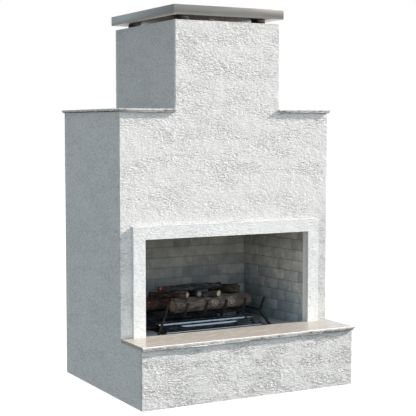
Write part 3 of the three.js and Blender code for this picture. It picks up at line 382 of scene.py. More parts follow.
finishes = {
    "stucco": stuccoFinish("trowelled stucco", 1.0, ("#b9bcbc", "#eff0ef"), shadedBeside=True),
    "stuccoSide": stuccoFinish("evenly trowelled stucco", 0.55, ("#a6a9a9", "#eeefee")),
    # Painted shade: the chimney's side walls take darker tones than the body's
    "stuccoShaft": stuccoFinish("evenly trowelled stucco, shade-painted grey", 0.55, ("#989a9b", "#dcdddd")),
    # Deeper marks, and darker tones as painted shade on the hearth's front
    "stuccoHearth": stuccoFinish("trowelled stucco, deeper and shade-painted", 1.3, ("#aaadac", "#e6e8e7")),
    "stuccoFine": stuccoFinish("finely floated stucco", 0.6, ("#c9cdcd", "#f1f5f5")),
    # Painted shade: a darker stucco for the band's returns that face the sun
    "stuccoReturn": stuccoFinish("shade-painted stucco", 0.3, ("#85898a", "#a9adae")),
    # Painted light: the opening's lining is whiter than any stucco here, standing in for light thrown into
    # it
    "stuccoSleeve": stuccoFinish("smooth stucco, painted bounce light", 0.0, ("#efeeec", "#ffffff")),
    "travertine": polishedStone(),
    "chiselled": chiselledStone(),
    "firebrick": brickFinish("sooty, shade-painted firebrick"),
    "hearthTile": brickFinish("sooty, shade-painted firebrick floor", flat=True),
    "cement_board": boardFinish(),
    # Hot-dip galvanised steel: bright grey with zinc crystals about 12 mm across
    "galvanised_steel": metalFinish("galvanised steel", ("#8d9396", "#b4b9bb"), (0.32, 0.5), 0.012),
    # Painted steel with a satin metallic coat: takes the sky's blue in the shade, and warm grey in the light
    "cap_steel": metalFinish("satin metallic steel", ("#84827e", "#8a8783"), (0.3, 0.36), 0.02,
                             stretch=(0.15, 0.15, 1.0)),
    # Underside of the cap: the same sheet without the coat, so it mirrors the dark gap and the bright air
    "soffit": metalFinish("bare steel sheet", ("#8f8a82", "#979289"), (0.2, 0.3), 0.02),
    # Mild steel blackened by heat, with a bronze cast
    "black_steel": metalFinish("heat-blackened steel", ("#14110d", "#262119"), (0.55, 0.75), 0.008,
                               metallic=0.3, bite=0.0004),
    # Porcelain enamel fired on pressed steel: glossy blue-black, and it mirrors whatever is bright
    "black_enamel": metalFinish("blue-black enamel", ("#7f8b97", "#8d99a4"), (0.08, 0.14), 0.05,
                                metallic=0.93, coat={"Coat Weight": 0.5, "Coat Roughness": 0.05}),
    # Galvanised steel in the smoke: sooty and dull
    "sooted_steel": metalFinish("sooted galvanised steel", ("#1f1e1c", "#36342f"), (0.6, 0.75), 0.03,
                                metallic=0.4),
    # Moulded phenolic plastic: black and slightly dull
    "black_plastic": metalFinish("moulded black plastic", ("#121212", "#1c1c1c"), (0.38, 0.5), 0.002,
                                 metallic=0.0, bite=0.0001),
    # Black malleable iron pipe: dark grey mill scale
    "black_iron": metalFinish("black iron pipe", ("#1d1d20", "#34343a"), (0.45, 0.7), 0.01, metallic=0.7),
}
print("stage: finishes")


# Tools of the bench

def only(piece):
    # Nothing but this piece is selected
    for other in bpy.context.selected_objects:
        other.select_set(False)
    piece.select_set(True)
    bpy.context.view_layer.objects.active = piece


def editing(on):
    bpy.ops.object.mode_set(mode="EDIT" if on else "OBJECT")


def pick(piece, kind, test):
    # In edit mode, selects the corners, edges or faces that pass the test, which gets the middle of each
    # and its normal, or the edge itself
    bpy.ops.mesh.select_mode(type=kind)
    bpy.ops.mesh.select_all(action="DESELECT")
    mesh = bmesh.from_edit_mesh(piece.data)
    if kind == "VERT":
        chosen = [v for v in mesh.verts if test(v.co, v.normal)]
    elif kind == "EDGE":
        chosen = [e for e in mesh.edges if test((e.verts[0].co + e.verts[1].co) / 2, e)]
    else:
        chosen = [f for f in mesh.faces if test(f.calc_center_median(), f.normal)]
    for item in chosen:
        item.select_set(True)
    mesh.select_flush_mode()
    bmesh.update_edit_mesh(piece.data)


def pickBorder():
    bpy.ops.mesh.select_mode(type="EDGE")
    bpy.ops.mesh.select_all(action="DESELECT")
    bpy.ops.mesh.select_non_manifold(
        extend=False, use_wire=False, use_boundary=True, use_multi_face=False, use_non_contiguous=False,
        use_verts=False)


def modify(piece, kind, **settings):
    # Adds a modifier, sets it and applies it
    only(piece)
    bpy.ops.object.modifier_add(type=kind)
    modifier = piece.modifiers[-1]
    for name, value in settings.items():
        setattr(modifier, name, value)
    bpy.ops.object.modifier_apply(modifier=modifier.name)


def smooth(piece, degrees):
    # Shades a piece smooth across its edges, but for the sharper ones
    only(piece)
    bpy.ops.object.shade_smooth_by_angle(angle=math.radians(degrees))


def settle(piece, matrix):
    # Turns and moves a piece, and takes that into its mesh
    only(piece)
    piece.matrix_world = matrix @ piece.matrix_world
    bpy.ops.object.transform_apply(location=True, rotation=True, scale=True)


def stageOf(place, turn=0):
    # From a drawing in X and Y to an upright plane: Y goes up, and the drawing faces -Y before it is turned
    return Matrix.Translation(place) @ Matrix.Rotation(turn, 4, "Z") @ Matrix.Rotation(quarter, 4, "X")


def finished(piece, name, body, replaced, slot, *materials):
    # Names a piece, gives it its finish and lets it ride in place of its CAD nodes
    piece.name = name
    piece.data.name = name
    piece.data.materials.clear()
    for material in materials:
        piece.data.materials.append(material)
    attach(piece, body)
    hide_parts(*replaced)
    return piece


def cloudTexture(name, size, depth, hard=False, ramp=None):
    # A solid noise for relief, with its size in metres
    texture = bpy.data.textures.new(name, "CLOUDS")
    texture.noise_scale = size
    texture.noise_depth = depth
    texture.noise_type = "HARD_NOISE" if hard else "SOFT_NOISE"
    if ramp:
        texture.use_color_ramp = True
        low, high = texture.color_ramp.elements
        low.position, low.color = ramp[0], (0, 0, 0, 1)
        high.position, high.color = ramp[1], (1, 1, 1, 1)
    return texture


# Stucco walls

stucco = {
    "cell": 0.0052,        # of the visible relief
    "sideCell": 0.0062,
    "backCell": 0.0085,        # of the rear wall, which stands to a wall
    "rows": 4,        # of cells round the edge
    "thickness": 0.019,
    "stretch": 0.4,        # the marks are this much as high as they are long
    "waves": cloudTexture("float marks", 0.05, 1),
    "waveDepth": 0.0014,
    "dashes": cloudTexture("knocked dashes", 0.007, 2, ramp=(0.42, 0.6)),
    "dashDepth": 0.0008,
    "patch": (0.2, 0.08),        # length and height of the patches with marks
    "patchContrast": 1.5,
    "leastMarked": 0.1,        # share of the marks that is left between the patches
    "unlike": 0.37,        # shift of the patches for each corner of a plate, so that no two walls are alike
    "smooth": 60,
}
body = {
    "half": 0.6095,
    "top": 1.432,
    "front": -0.248,
    "back": 0.49,
    "hearthFront": -0.495,
    "hearth": 0.291,
    "hearthTop": 0.309,        # with its slab
    "shoulderTop": 1.447,
    "chimneyHalf": 0.303,
    "chimneyTop": 1.892,
}


def relief(plate, depth=1.0):
    # Float marks all over the front of a plate that still lies flat, and patches of dashes
    front = plate.vertex_groups.new(name="front")
    dashed = plate.vertex_groups.new(name="dashed")
    shift = len(plate.data.vertices) * stucco["unlike"]
    for vertex in plate.data.vertices:
        if vertex.co.z > -close:
            spot = Vector((vertex.co.x / stucco["patch"][0], vertex.co.y / stucco["patch"][1], shift))
            marks = 0.5 + stucco["patchContrast"] * noise.noise(spot)
            front.add([vertex.index], 1, "REPLACE")
            dashed.add([vertex.index], min(1, max(stucco["leastMarked"], marks)), "REPLACE")
    squeeze = Matrix.Diagonal((stucco["stretch"], 1, 1, 1))
    settle(plate, squeeze)
    modify(plate, "DISPLACE", texture=stucco["dashes"], texture_coords="LOCAL", direction="Z",
           strength=stucco["dashDepth"] * depth, mid_level=0.6, vertex_group="dashed")
    settle(plate, squeeze.inverted())
    modify(plate, "DISPLACE", texture=stucco["waves"], texture_coords="LOCAL", direction="Z",
           strength=stucco["waveDepth"] * depth, mid_level=0.5, vertex_group="front")
    smooth(plate, stucco["smooth"])


def gridPlate(u, v, uLines, vLines, keep, cell, depth, rows):
    # A plate of fine cells with an outline of straight lines, drawn in X and Y and facing +Z
    width, height = u[1] - u[0], v[1] - v[0]
    counts = [round(width / cell), round(height / cell)]
    bpy.ops.mesh.primitive_grid_add(x_subdivisions=counts[0], y_subdivisions=counts[1], size=1)
    plate = bpy.context.object
    middle = Vector(((u[0] + u[1]) / 2, (v[0] + v[1]) / 2, 0))
    settle(plate, Matrix.Translation(middle) @ Matrix.Diagonal((width, height, 1, 1)))
    editing(True)
    for axis, (start, end), count, lines in ((0, u, counts[0], uLines), (1, v, counts[1], vLines)):
        step = (end - start) / count
        for line in lines:        # the nearest line of the grid goes onto the outline
            near = start + round((line - start) / step) * step
            pick(plate, "VERT", lambda p, n: abs(p[axis] - near) < step / 4)
            shift = [0, 0, 0]
            shift[axis] = line - near
            bpy.ops.transform.translate(value=shift)
    if keep:
        pick(plate, "FACE", lambda p, n: not keep(p.x, p.y))
        bpy.ops.mesh.delete(type="FACE")
    pickBorder()
    for _ in range(rows):
        bpy.ops.mesh.extrude_region_move(TRANSFORM_OT_translate={"value": (0, 0, -depth / rows)})
    bpy.ops.mesh.fill(use_beauty=False)
    bpy.ops.mesh.select_all(action="SELECT")
    bpy.ops.mesh.normals_make_consistent(inside=False)
    editing(False)
    return plate


def wall(node, u, v, uLines, vLines, keep, place, turn, cell="cell", depth=1.0, finish="stucco"):
    plate = gridPlate(u, v, uLines, vLines, keep, stucco[cell], stucco["thickness"], stucco["rows"])
    relief(plate, depth)
    settle(plate, stageOf(place, turn))
    return finished(plate, "stucco_" + node, "fireplace", [node], "stucco", finishes[finish])


half, shaft = body["half"], body["chimneyHalf"]
innerFront, innerBack = body["front"] + stucco["thickness"], body["back"] - stucco["thickness"]
hearthInner = body["hearthFront"] + stucco["thickness"]
sleeve = {"half": 0.494, "top": 0.81}        # the cut-out that the surround's sleeve lines


def stepped(u, v):
    return v < body["top"] or abs(u) < shaft


wall("front_wall", (-half, half), (body["hearth"], body["chimneyTop"]),
     (-shaft, shaft, -sleeve["half"], sleeve["half"]), (sleeve["top"], body["top"]),
     lambda u, v: stepped(u, v) and (abs(u) > sleeve["half"] or v > sleeve["top"]),
     (0, body["front"], 0), 0)
wall("hearth_front_wall", (-half, half), (0, body["hearth"]), (), (), None, (0, body["hearthFront"], 0), 0,
     depth=1.4, finish="stuccoHearth")
for side, turn, sign in (("left", -quarter, -1), ("right", quarter, 1)):
    wall(side + "_wall", sorted((sign * hearthInner, sign * innerBack)), (0, body["top"]),
         (sign * innerFront,), (body["hearth"],),
         lambda u, v: sign * u > innerFront or v < body["hearth"], (sign * half, 0, 0), turn, "sideCell",
         finish="stuccoSide")
    wall("chimney_" + side + "_wall", sorted((sign * innerFront, sign * innerBack)),
         (body["top"], body["chimneyTop"]), (), (), None, (sign * shaft, 0, 0), turn, "sideCell",
         finish="stuccoShaft")

coupling = {        # the hole for the gas pipe
    "x": -0.4071,
    "z": 0.15,
    "radius": 0.021,
    "sides": 32,
    "drill": 0.1,        # length of what cuts it
}
rearWall = wall("rear_wall", (-half, half), (0, body["chimneyTop"]), (-shaft, shaft), (body["top"],),
                stepped, (0, body["back"], 0), math.pi, "backCell", finish="stuccoSide")
bpy.ops.mesh.primitive_cylinder_add(
    vertices=coupling["sides"], radius=coupling["radius"], depth=coupling["drill"],
    location=(coupling["x"], body["back"], coupling["z"]), rotation=(quarter, 0, 0))
drill = bpy.context.object
modify(rearWall, "BOOLEAN", object=drill, operation="DIFFERENCE", solver="EXACT")
bpy.data.objects.remove(drill)
print("stage: stucco walls")

surround = {
    "half": 0.548,
    "top": 0.864,
    "face": -0.268,
    "bed": 0.003,        # how far the band is bedded into the wall's stucco
    "cell": 0.0042,
    "rows": 5,
    "relief": 0.6,        # share of the walls' relief
    "openHalf": 0.482,
    "openTop": 0.798,
    "floor": 0.282,
    "back": -0.216,
    "liningCell": 0.006,
    "liningRows": 6,
    "edge": 0.002,        # how near the outline the faces of the returns lie
}


def aroundOpening(u, v):
    return abs(u) > surround["openHalf"] or v > surround["openTop"]


openLines = ((-surround["openHalf"], surround["openHalf"]), (surround["openTop"],))
band = gridPlate(
    (-surround["half"], surround["half"]), (body["hearthTop"], surround["top"]), *openLines, aroundOpening,
    surround["cell"], body["front"] - surround["face"] + surround["bed"], surround["rows"])
relief(band, surround["relief"])
settle(band, stageOf((0, surround["face"], 0)))
returns = [        # the faces at the band's top and right that don't face the front
    max(face.center.x - surround["half"], face.center.z - surround["top"]) > -surround["edge"]
    and face.normal.y > -0.5 for face in band.data.polygons
]
lining = gridPlate(
    (-sleeve["half"], sleeve["half"]), (surround["floor"], sleeve["top"]), *openLines, aroundOpening,
    surround["liningCell"], surround["back"] - body["front"], surround["liningRows"])
settle(lining, stageOf((0, body["front"], 0)))
only(band)
lining.select_set(True)
bpy.ops.object.join()
finished(band, "stucco_surround", "fireplace", ["opening_surround"], "stucco", finishes["stuccoFine"],
         finishes["stuccoReturn"], finishes["stuccoSleeve"])
for face in band.data.polygons:        # the sunny returns take a darker stucco as painted shade, and the lining's faces come last
    face.material_index = int(returns[face.index]) if face.index < len(returns) else 2
print("stage: surround")


# Stone slabs

stone = {
    "overhang": 0.013,
    "cell": 0.006,
    "rows": 5,
    "split": cloudTexture("split stone", 0.022, 3, hard=True),
    "splitDepth": 0.006,
    "chips": cloudTexture("small chips", 0.007, 1),
    "chipDepth": 0.003,
    "topRelief": 0.15,        # share of the relief at the top of an edge
    "footRelief": 0.6,        # and what is added to it down to the foot
    "undercut": 0.005,
    "undercutFrom": 0.72,        # where it starts, as a share of the way down
    "undercutSlope": 4,
    "ragged": 0.7,        # how much of the way down its start wanders
    "nick": 0.016,        # length of the nicks
    "smooth": 35,
}


def slab(name, x, y, z, chipped, node):
    # A slab with a flat polished top, split along the sides that pass the test
    plate = gridPlate(x, y, (), (), None, stone["cell"], z[1] - z[0], stone["rows"])
    settle(plate, Matrix.Translation((0, 0, z[1])))
    group = plate.vertex_groups.new(name="split")
    for vertex in plate.data.vertices:
        if chipped(vertex.co, stone["cell"] * 0.3):        # the foot of the edge is split back the most
            down = (z[1] - vertex.co.z) / (z[1] - z[0])
            group.add([vertex.index], stone["topRelief"] + stone["footRelief"] * down ** 2, "REPLACE")
            spot = Vector((vertex.co.x, vertex.co.y, z[1])) / stone["nick"]
            below = max(0, down - stone["undercutFrom"] + stone["ragged"] * noise.noise(spot))
            undercut = stone["undercut"] * min(1, below * stone["undercutSlope"])
            for axis, (low, high) in ((0, x), (1, y)):
                if vertex.co[axis] < low + close:
                    vertex.co[axis] += undercut
                elif vertex.co[axis] > high - close:
                    vertex.co[axis] -= undercut
    finished(plate, name, "fireplace", [node], "travertine", finishes["travertine"], finishes["chiselled"])
    for face in plate.data.polygons:        # the split edges and the underside are rough
        face.material_index = int(chipped(face.center, stone["cell"] * 0.6) or face.normal.z < -0.8)
    for texture, depth in (("split", "splitDepth"), ("chips", "chipDepth")):
        modify(plate, "DISPLACE", texture=stone[texture], texture_coords="LOCAL", direction="NORMAL",
               strength=stone[depth], mid_level=1.0, vertex_group="split")
    smooth(plate, stone["smooth"])


over = stone["overhang"]
lip, outer = body["hearthFront"] - over, half + over
front, rear = body["front"] - over, body["back"] + over
slab("stone_hearth", (-half, outer), (lip, body["front"]), (body["hearth"], body["hearthTop"]),
     lambda p, d: p.y < lip + d or p.x > outer - d, "hearth_slab")
for side, sign in (("left", -1), ("right", 1)):
    slab("stone_shoulder_" + side, sorted((sign * shaft, sign * outer)), (front, rear),
         (body["top"], body["shoulderTop"]),
         lambda p, d: sign * p.x > outer - d or p.y < front + d or p.y > rear - d, "shoulder_slab_" + side)
print("stage: stone slabs")


# Brick lining

brick = {
    "length": 0.118,
    "height": 0.0585,
    "joint": 0.004,
    "groove": 0.003,        # depth of the joints
    "edge": 0.0016,        # rounding of a brick
    "smooth": 40,
    "tones": {"bed": 0.0, "upright": 0.15, "darkest": 0.3},        # of the joints and the darkest brick
    "firstJoint": 0.032,        # height of the lowest bed joint over the panels' foot
    "sideBond": 0.051,        # where the upright joints start, from the mouth
    "backBond": 0.0205,        # and from the middle of the back
    "foot": 0.244,
    "rise": 0.617,
    "thickness": 0.045,
    "mouth": 0.485,        # half the width between the side panels in front
    "depth": 0.532,
    "splay": math.radians(6.5),        # of the side panels
    "gap": 0.0003,        # to the panel beside
}


def chance(a, b):
    # A number from 0 to 1 that is always the same for the same two
    wave = math.sin(12.9898 * a + 78.233 * b) * 43758.5453
    return wave - math.floor(wave)


def brickPanel(start, end, bond, lean):
    # Drawn in X and Y and facing +Z, with the bricks' faces at Z zero. Each course is cut on its own, then
    # the bricks are pulled up out of the mortar and their edges rounded.
    middle = Matrix.Translation(((start + end) / 2, brick["rise"] / 2, -brick["groove"]))
    bpy.ops.mesh.primitive_plane_add(size=1)
    panel = bpy.context.object
    settle(panel, middle @ Matrix.Diagonal((end - start, brick["rise"], 1, 1)))
    editing(True)
    halfJoint = brick["joint"] / 2
    courses = range(-1, math.floor((brick["rise"] - brick["firstJoint"]) / brick["height"]))
    for course in courses:
        low = brick["firstJoint"] + course * brick["height"]
        for line in (low + halfJoint, low + brick["height"] - halfJoint):
            if 0 < line < brick["rise"]:
                bpy.ops.mesh.select_all(action="SELECT")
                bpy.ops.mesh.bisect(plane_co=(0, line, 0), plane_no=(0, 1, 0))
    for course in courses:
        low = brick["firstJoint"] + course * brick["height"]
        shift = course % 2 * brick["length"] / 2
        joint = (bond + shift) % brick["length"] - brick["length"]
        while joint < end:
            for line in (joint - halfJoint, joint + halfJoint):
                if start < line < end:
                    pick(panel, "FACE",
                         lambda p, n: low + halfJoint < p.y < low + brick["height"] - halfJoint)
                    bpy.ops.mesh.bisect(plane_co=(line, 0, 0), plane_no=(1, 0, 0))
            joint += brick["length"]

    def brickAt(x, y):
        # The course and the number of the brick at a place, or whether it is in an upright joint
        course = math.floor((y - brick["firstJoint"]) / brick["height"])
        up = (y - brick["firstJoint"]) - course * brick["height"]
        shift = course % 2 * brick["length"] / 2
        number = math.floor((x - bond - shift) / brick["length"])
        across = (x - bond - shift) - number * brick["length"]
        inside = halfJoint < up < brick["height"] - halfJoint
        if inside and halfJoint < across < brick["length"] - halfJoint:
            return course, number
        return inside

    pick(panel, "FACE", lambda p, n: isinstance(brickAt(p.x, p.y), tuple))
    bpy.ops.mesh.extrude_region_move(TRANSFORM_OT_translate={"value": (0, 0, brick["groove"])})
    bpy.ops.mesh.bevel(offset=brick["edge"], segments=2, affect="EDGES")
    pickBorder()
    back = brick["thickness"] - brick["groove"]
    bpy.ops.mesh.extrude_region_move(TRANSFORM_OT_translate={"value": (lean * back, 0, -back)})
    bpy.ops.mesh.edge_face_add()
    bpy.ops.mesh.select_all(action="SELECT")
    bpy.ops.mesh.normals_make_consistent(inside=False)
    editing(False)
    tones = panel.data.attributes.new("brickTone", "FLOAT", "FACE")
    darkest = brick["tones"]["darkest"]
    for face in panel.data.polygons:
        found = brickAt(face.center.x, face.center.y)
        if isinstance(found, tuple):
            tones.data[face.index].value = darkest + (1 - darkest) * chance(*found)
        else:        # the upright joints are paler than the bed joints
            tones.data[face.index].value = brick["tones"]["upright" if found else "bed"]
    smooth(panel, brick["smooth"])
    return panel


lean = math.tan(brick["splay"])
sideLength = brick["depth"] / math.cos(brick["splay"])
sideStart, sideEnd = (x / math.cos(brick["splay"]) for x in (brick["gap"], brick["depth"] - brick["gap"]))
fireboxBack = surround["back"] + brick["depth"]
halfRear = brick["mouth"] - brick["depth"] * lean
halfBack = halfRear + brick["thickness"]
panels = {        # start, end, bond, lean, place of the foot's corner, and turn
    "left": (sideStart, sideEnd, brick["sideBond"], -lean, (-brick["mouth"], surround["back"]),
             quarter - brick["splay"]),
    "right": (sideStart, sideEnd, (sideLength - brick["sideBond"]) % brick["length"], lean,
              (halfRear, fireboxBack), brick["splay"] - quarter),
    "back": (0, 2 * halfBack, (halfBack + brick["backBond"]) % brick["length"], 0,
             (-halfBack, fireboxBack), 0),
}
for side, (start, end, bond, slant, corner, turn) in panels.items():
    bricks = brickPanel(start, end, bond, slant)
    settle(bricks, stageOf((*corner, brick["foot"]), turn))
    finished(bricks, "bricks_" + side, "fireplace", ["firebox_" + side], "firebrick", finishes["firebrick"])
print("stage: brick lining")


# Steel pieces with eased edges

ribs = {        # pressed into the risers of the burner's cover, steep enough to mirror the sky in front
    "lip": 0.2895,        # height of the upright lip at its foot
    "ends": (-0.19, -0.155, -0.14, -0.115, 0.09, 0.11, 0.125, 0.165),
    "reach": (0.003, 0.0025),        # how near an edge the corners that it takes along lie
    "pressed": [        # depth and height of an edge, its shift, and from where to where across
        (-0.1093, 0.2895, (0, -0.0033, 0), -1, 1),
        (-0.0899, 0.3081, (0, 0, -0.004), -0.27, 0.27),
        (-0.0751, 0.3081, (0, 0, -0.004), -0.155, 0.125),
        (-0.0691, 0.3127, (0, -0.0045, 0), -0.155, 0.125),
        (-0.0299, 0.3127, (0, 0.006, 0), -1, 1),
        (-0.0183, 0.3194, (0, -0.0045, 0), -1, 1),
        (0.0716, 0.3194, (0, 0.006, 0), -0.115, 0.09),
        (0.0832, 0.327, (0, -0.0045, 0), -0.115, 0.09),
    ],
}
eased = {        # name, body, slot, rounding and its segments
    "burner_hood": ("burner_cover", "fireplace", "black_enamel", 0.0012, 3),
    "burner_tray": ("burner_base", "fireplace", "black_steel", 0.0008, 2),
    "gas_valve_box": ("valve_casing", "fireplace", "black_steel", 0.0012, 2),
    "gas_knob": ("knob", "gas_knob", "black_plastic", 0.0006, 2),
    "igniter_button": ("button", "igniter_button", "black_plastic", 0.001, 3),
    "chimney_cap": ("cap_lid", "fireplace", "cap_steel", 0.0012, 2),
    "cap_soffit": ("cap_underside", "fireplace", "cap_steel", 0.0006, 2),
    "grate_rail_front": ("rail_front", "grate_and_logs", "black_steel", 0.0008, 2),
    "grate_rail_rear": ("rail_rear", "grate_and_logs", "black_steel", 0.0008, 2),
}
for i in range(1, 7):
    eased[f"grate_bar_{i}"] = (f"bent_bar_{i}", "grate_and_logs", "black_steel", 0.001, 2)
for corner in ("front_left", "front_right", "rear_left", "rear_right"):
    eased["cap_foot_" + corner] = ("foot_" + corner, "fireplace", "black_steel", 0.0008, 2)
facets = {
    "merge": 1e-5,        # metres, between corners that become one
    "flat": 0.5,        # degrees, between faces that become one
    "sharp": 35,        # degrees, between faces whose edge is rounded
}


def pressRibs(piece):
    # Cuts the cover where its ribs end, and pushes the edges of its risers in or out between the cuts
    for axis, line in [(2, ribs["lip"])] + [(0, line) for line in ribs["ends"]]:
        normal = [int(axis == i) for i in range(3)]
        bpy.ops.mesh.select_all(action="SELECT")
        bpy.ops.mesh.bisect(plane_co=[line * n for n in normal], plane_no=normal)
    for depth, height, shift, low, high in ribs["pressed"]:
        pick(piece, "VERT", lambda p, n: (abs(p.y - depth) < ribs["reach"][0]
                                          and abs(p.z - height) < ribs["reach"][1]
                                          and low - close < p.x < high + close))
        bpy.ops.transform.translate(value=shift)


def easedCopy(node, name, riding, slot, width, segments):
    # A copy of a CAD node with its flat faces made whole again and its sharp edges rounded
    only(nodes[node])
    bpy.ops.object.duplicate()
    piece = bpy.context.object
    for key in list(piece.keys()):
        del piece[key]
    bpy.ops.object.parent_clear(type="CLEAR_KEEP_TRANSFORM")
    editing(True)
    bpy.ops.mesh.select_all(action="SELECT")
    bpy.ops.mesh.remove_doubles(threshold=facets["merge"])
    bpy.ops.mesh.customdata_custom_splitnormals_clear()
    bpy.ops.mesh.dissolve_limited(angle_limit=math.radians(facets["flat"]))
    if node == "burner_hood":
        pressRibs(piece)
    editing(False)
    modify(piece, "BEVEL", width=width, segments=segments, limit_method="ANGLE",
           angle_limit=math.radians(facets["sharp"]))
    smooth(piece, facets["sharp"])
    finished(piece, name, riding, [node], slot, finishes["soffit" if node == "cap_soffit" else slot])


for node, row in eased.items():
    easedCopy(node, *row)
print("stage: steel pieces")


# The sun's reach

def lightLinks(name, pieces, skipped=True):
    # A collection of pieces that a lamp skips, or else the only ones that it lights
    group = bpy.data.collections.new(name)
    for piece in pieces:
        group.objects.link(bpy.data.objects[piece])
    for entry in group.collection_objects:
        entry.light_linking.link_state = "EXCLUDE" if skipped else "INCLUDE"
    return group


# The sun leaves the floor alone, which keeps one pale tone with only a soft shade by the base. It passes the
# thin cap by, which keeps the chimney bright up to its edge. The walls that face it would burn out, so the
# weaker sun along the same line lights them in its place.
sunnyWalls = ["stucco_right_wall", "stucco_chimney_right_wall"]
sun.light_linking.receiver_collection = lightLinks("not in the sun", ["studio_floor"] + sunnyWalls)
sun.light_linking.blocker_collection = lightLinks("no shadow", ["cap_lid", "cap_underside"])
screenedSun.light_linking.receiver_collection = lightLinks("in the screened sun", sunnyWalls, skipped=False)
print("stage: the sun's reach")


# Ceramic logs

barks = {
    "front": logFinish("grey-brown bark ceramic", ("#3b3430", "#615853", "#877c75", "#c0b5ab"),
                       ("#6b5747", "#a58f7a"), "#8c5a3a", (-0.02, -0.01)),
    "rear": logFinish("red-brown bark ceramic", ("#211b19", "#4b3d38", "#6f5b52", "#9a8174"),
                      ("#6b5747", "#9a7c64"), "#d65a20", (0.04, 0.11)),
    "crossLeft": logFinish("dark bark ceramic, pink end", ("#1d1817", "#423935", "#675b53", "#98877a"),
                           ("#8d6b4f", "#d8b798"), "#c2502a", (0.0, 0.06)),
    "crossMiddle": logFinish("dark bark ceramic, blue end", ("#1b1e21", "#3d4246", "#60666b", "#8d9297"),
                             ("#54585c", "#8f867b"), "#c2502a", (-0.02, -0.01)),
    "chunk": logFinish("dark bark ceramic, yellow end", ("#1b1917", "#3d3936", "#5f5953", "#8f867b"),
                       ("#a8946a", "#e3dabb"), "#c2502a", (-0.02, -0.01)),
    "long": logFinish("charred bark ceramic", ("#17181a", "#323438", "#585b60", "#9b9ea3"),
                      ("#2a2522", "#4a3f38"), "#ee6a1c", (0.0, 0.09)),
    "end": logFinish("dark grey-brown bark ceramic", ("#1c1a15", "#403c36", "#645f57", "#938c81"),
                     ("#332c26", "#544a40"), "#c2502a", (-0.02, -0.01)),
}
logs = {        # a knot is a share of the length, a turn, a width and a height; a cut a place and its facing
    "log_front": {
        "name": "front_log", "riding": "grate_and_logs", "finish": "front", "seed": 11, "rings": 90,
        "from": (-0.20532, -0.01189, 0.41), "to": (0.28188, 0.02984, 0.407), "radii": (0.0435, 0.0405),
        "knots": [(0.51, 3.09, 0.021, 0.006), (0.72, 3.24, 0.023, 0.007)],
    },
    "log_rear": {
        "name": "rear_log", "riding": "grate_and_logs", "finish": "rear", "seed": 23, "rings": 90,
        "from": (-0.34337, 0.1499, 0.404), "to": (0.16066, 0.14508, 0.401), "radii": (0.0375, 0.0345),
    },
    "log_cross_left": {
        "name": "left_cross_log", "riding": "grate_and_logs", "finish": "crossLeft", "seed": 37, "rings": 50,
        "from": (-0.1431, -0.06384, 0.47197), "to": (-0.25969, 0.15966, 0.45409), "radii": (0.0155, 0.017),
    },
    "log_cross_middle": {
        "name": "middle_cross_log", "riding": "grate_and_logs", "finish": "crossMiddle", "seed": 41,
        "rings": 50,
        "from": (-0.06856, -0.05835, 0.47187), "to": (-0.00958, 0.15827, 0.45095), "radii": (0.0155, 0.017),
    },
    "log_upper_right": {
        "name": "right_upper_log", "riding": "upper_right_log", "finish": "end", "seed": 53, "rings": 40,
        "from": (0.20745, 0.01624, 0.47368), "to": (0.12743, 0.15397, 0.45945), "radii": (0.0285, 0.029),
    },
    "log_upper_front": {
        "name": "front_upper_log", "riding": "upper_front_log", "finish": "chunk", "seed": 61, "rings": 40,
        "from": (0.10113, -0.01134, 0.45856), "to": (-0.03188, -0.0231, 0.4601), "radii": (0.0175, 0.0175),
        "cut": (0.027, (0.85, 0, -0.53)),
    },
    "log_upper_long": {
        "name": "long_upper_log", "riding": "upper_long_log", "finish": "long", "seed": 71, "rings": 90,
        "from": (-0.2688, 0.02813, 0.49788), "to": (0.11663, 0.04574, 0.4933), "radii": (0.0165, 0.0175),
        "swell": 0.005, "slot": "charcoal_ceramic",
    },
}
bark = {
    "sides": 64,
    "endRings": 5,        # of cells on a sawn end, and their width as a share of the radius
    "endRing": 0.16,
    "stretch": 4.0,        # how much longer than wide the ridges are
    "ridges": cloudTexture("bark ridges", 0.011, 3, hard=True),
    "ridgeDepth": 0.0042,
    "lumps": cloudTexture("lumps", 0.04, 1),
    "lumpDepth": 0.007,
    "rim": 0.85,        # share of the radius outside which there is bark
    "apart": 3.0,        # metres of noise from one seed to the next, so that no two logs are alike
    "knotDip": (0.55, 2.6),        # how deep a knot's dip is, and how much narrower than the knot
    "knotWobble": ((0.5, 45), (0.4, 130)),        # share and fineness of the waves in a knot's outline
    "knotFar": 3.0,        # the reach, in knot widths, where there is no knot
    "endDepth": 0.002,        # how near the end its faces lie
    "endFacing": 0.75,
    "cutFacing": 0.98,
    "smooth": 50,
}


def cornerPlaces(mesh):
    places = np.empty(len(mesh.vertices) * 3)
    mesh.vertices.foreach_get("co", places)
    return places.reshape(-1, 3)


def blankLog(length, rings):
    # A round blank of radius 1 along Z, with rings of cells along it and on its sawn ends
    bpy.ops.mesh.primitive_cylinder_add(
        vertices=bark["sides"], radius=1, depth=length, location=(0, 0, length / 2))
    piece = bpy.context.object
    settle(piece, Matrix.Identity(4))
    editing(True)
    pick(piece, "EDGE", lambda p, e: abs(e.verts[0].co.z - e.verts[1].co.z) > length / 2)
    bpy.ops.mesh.subdivide(number_cuts=rings)
    for endPlace in (0, length):
        pick(piece, "FACE", lambda p, n: abs(n.z) > 0.9 and abs(p.z - endPlace) < close)
        for _ in range(bark["endRings"]):
            bpy.ops.mesh.inset(thickness=bark["endRing"])
        bpy.ops.mesh.poke()
    editing(False)
    return piece


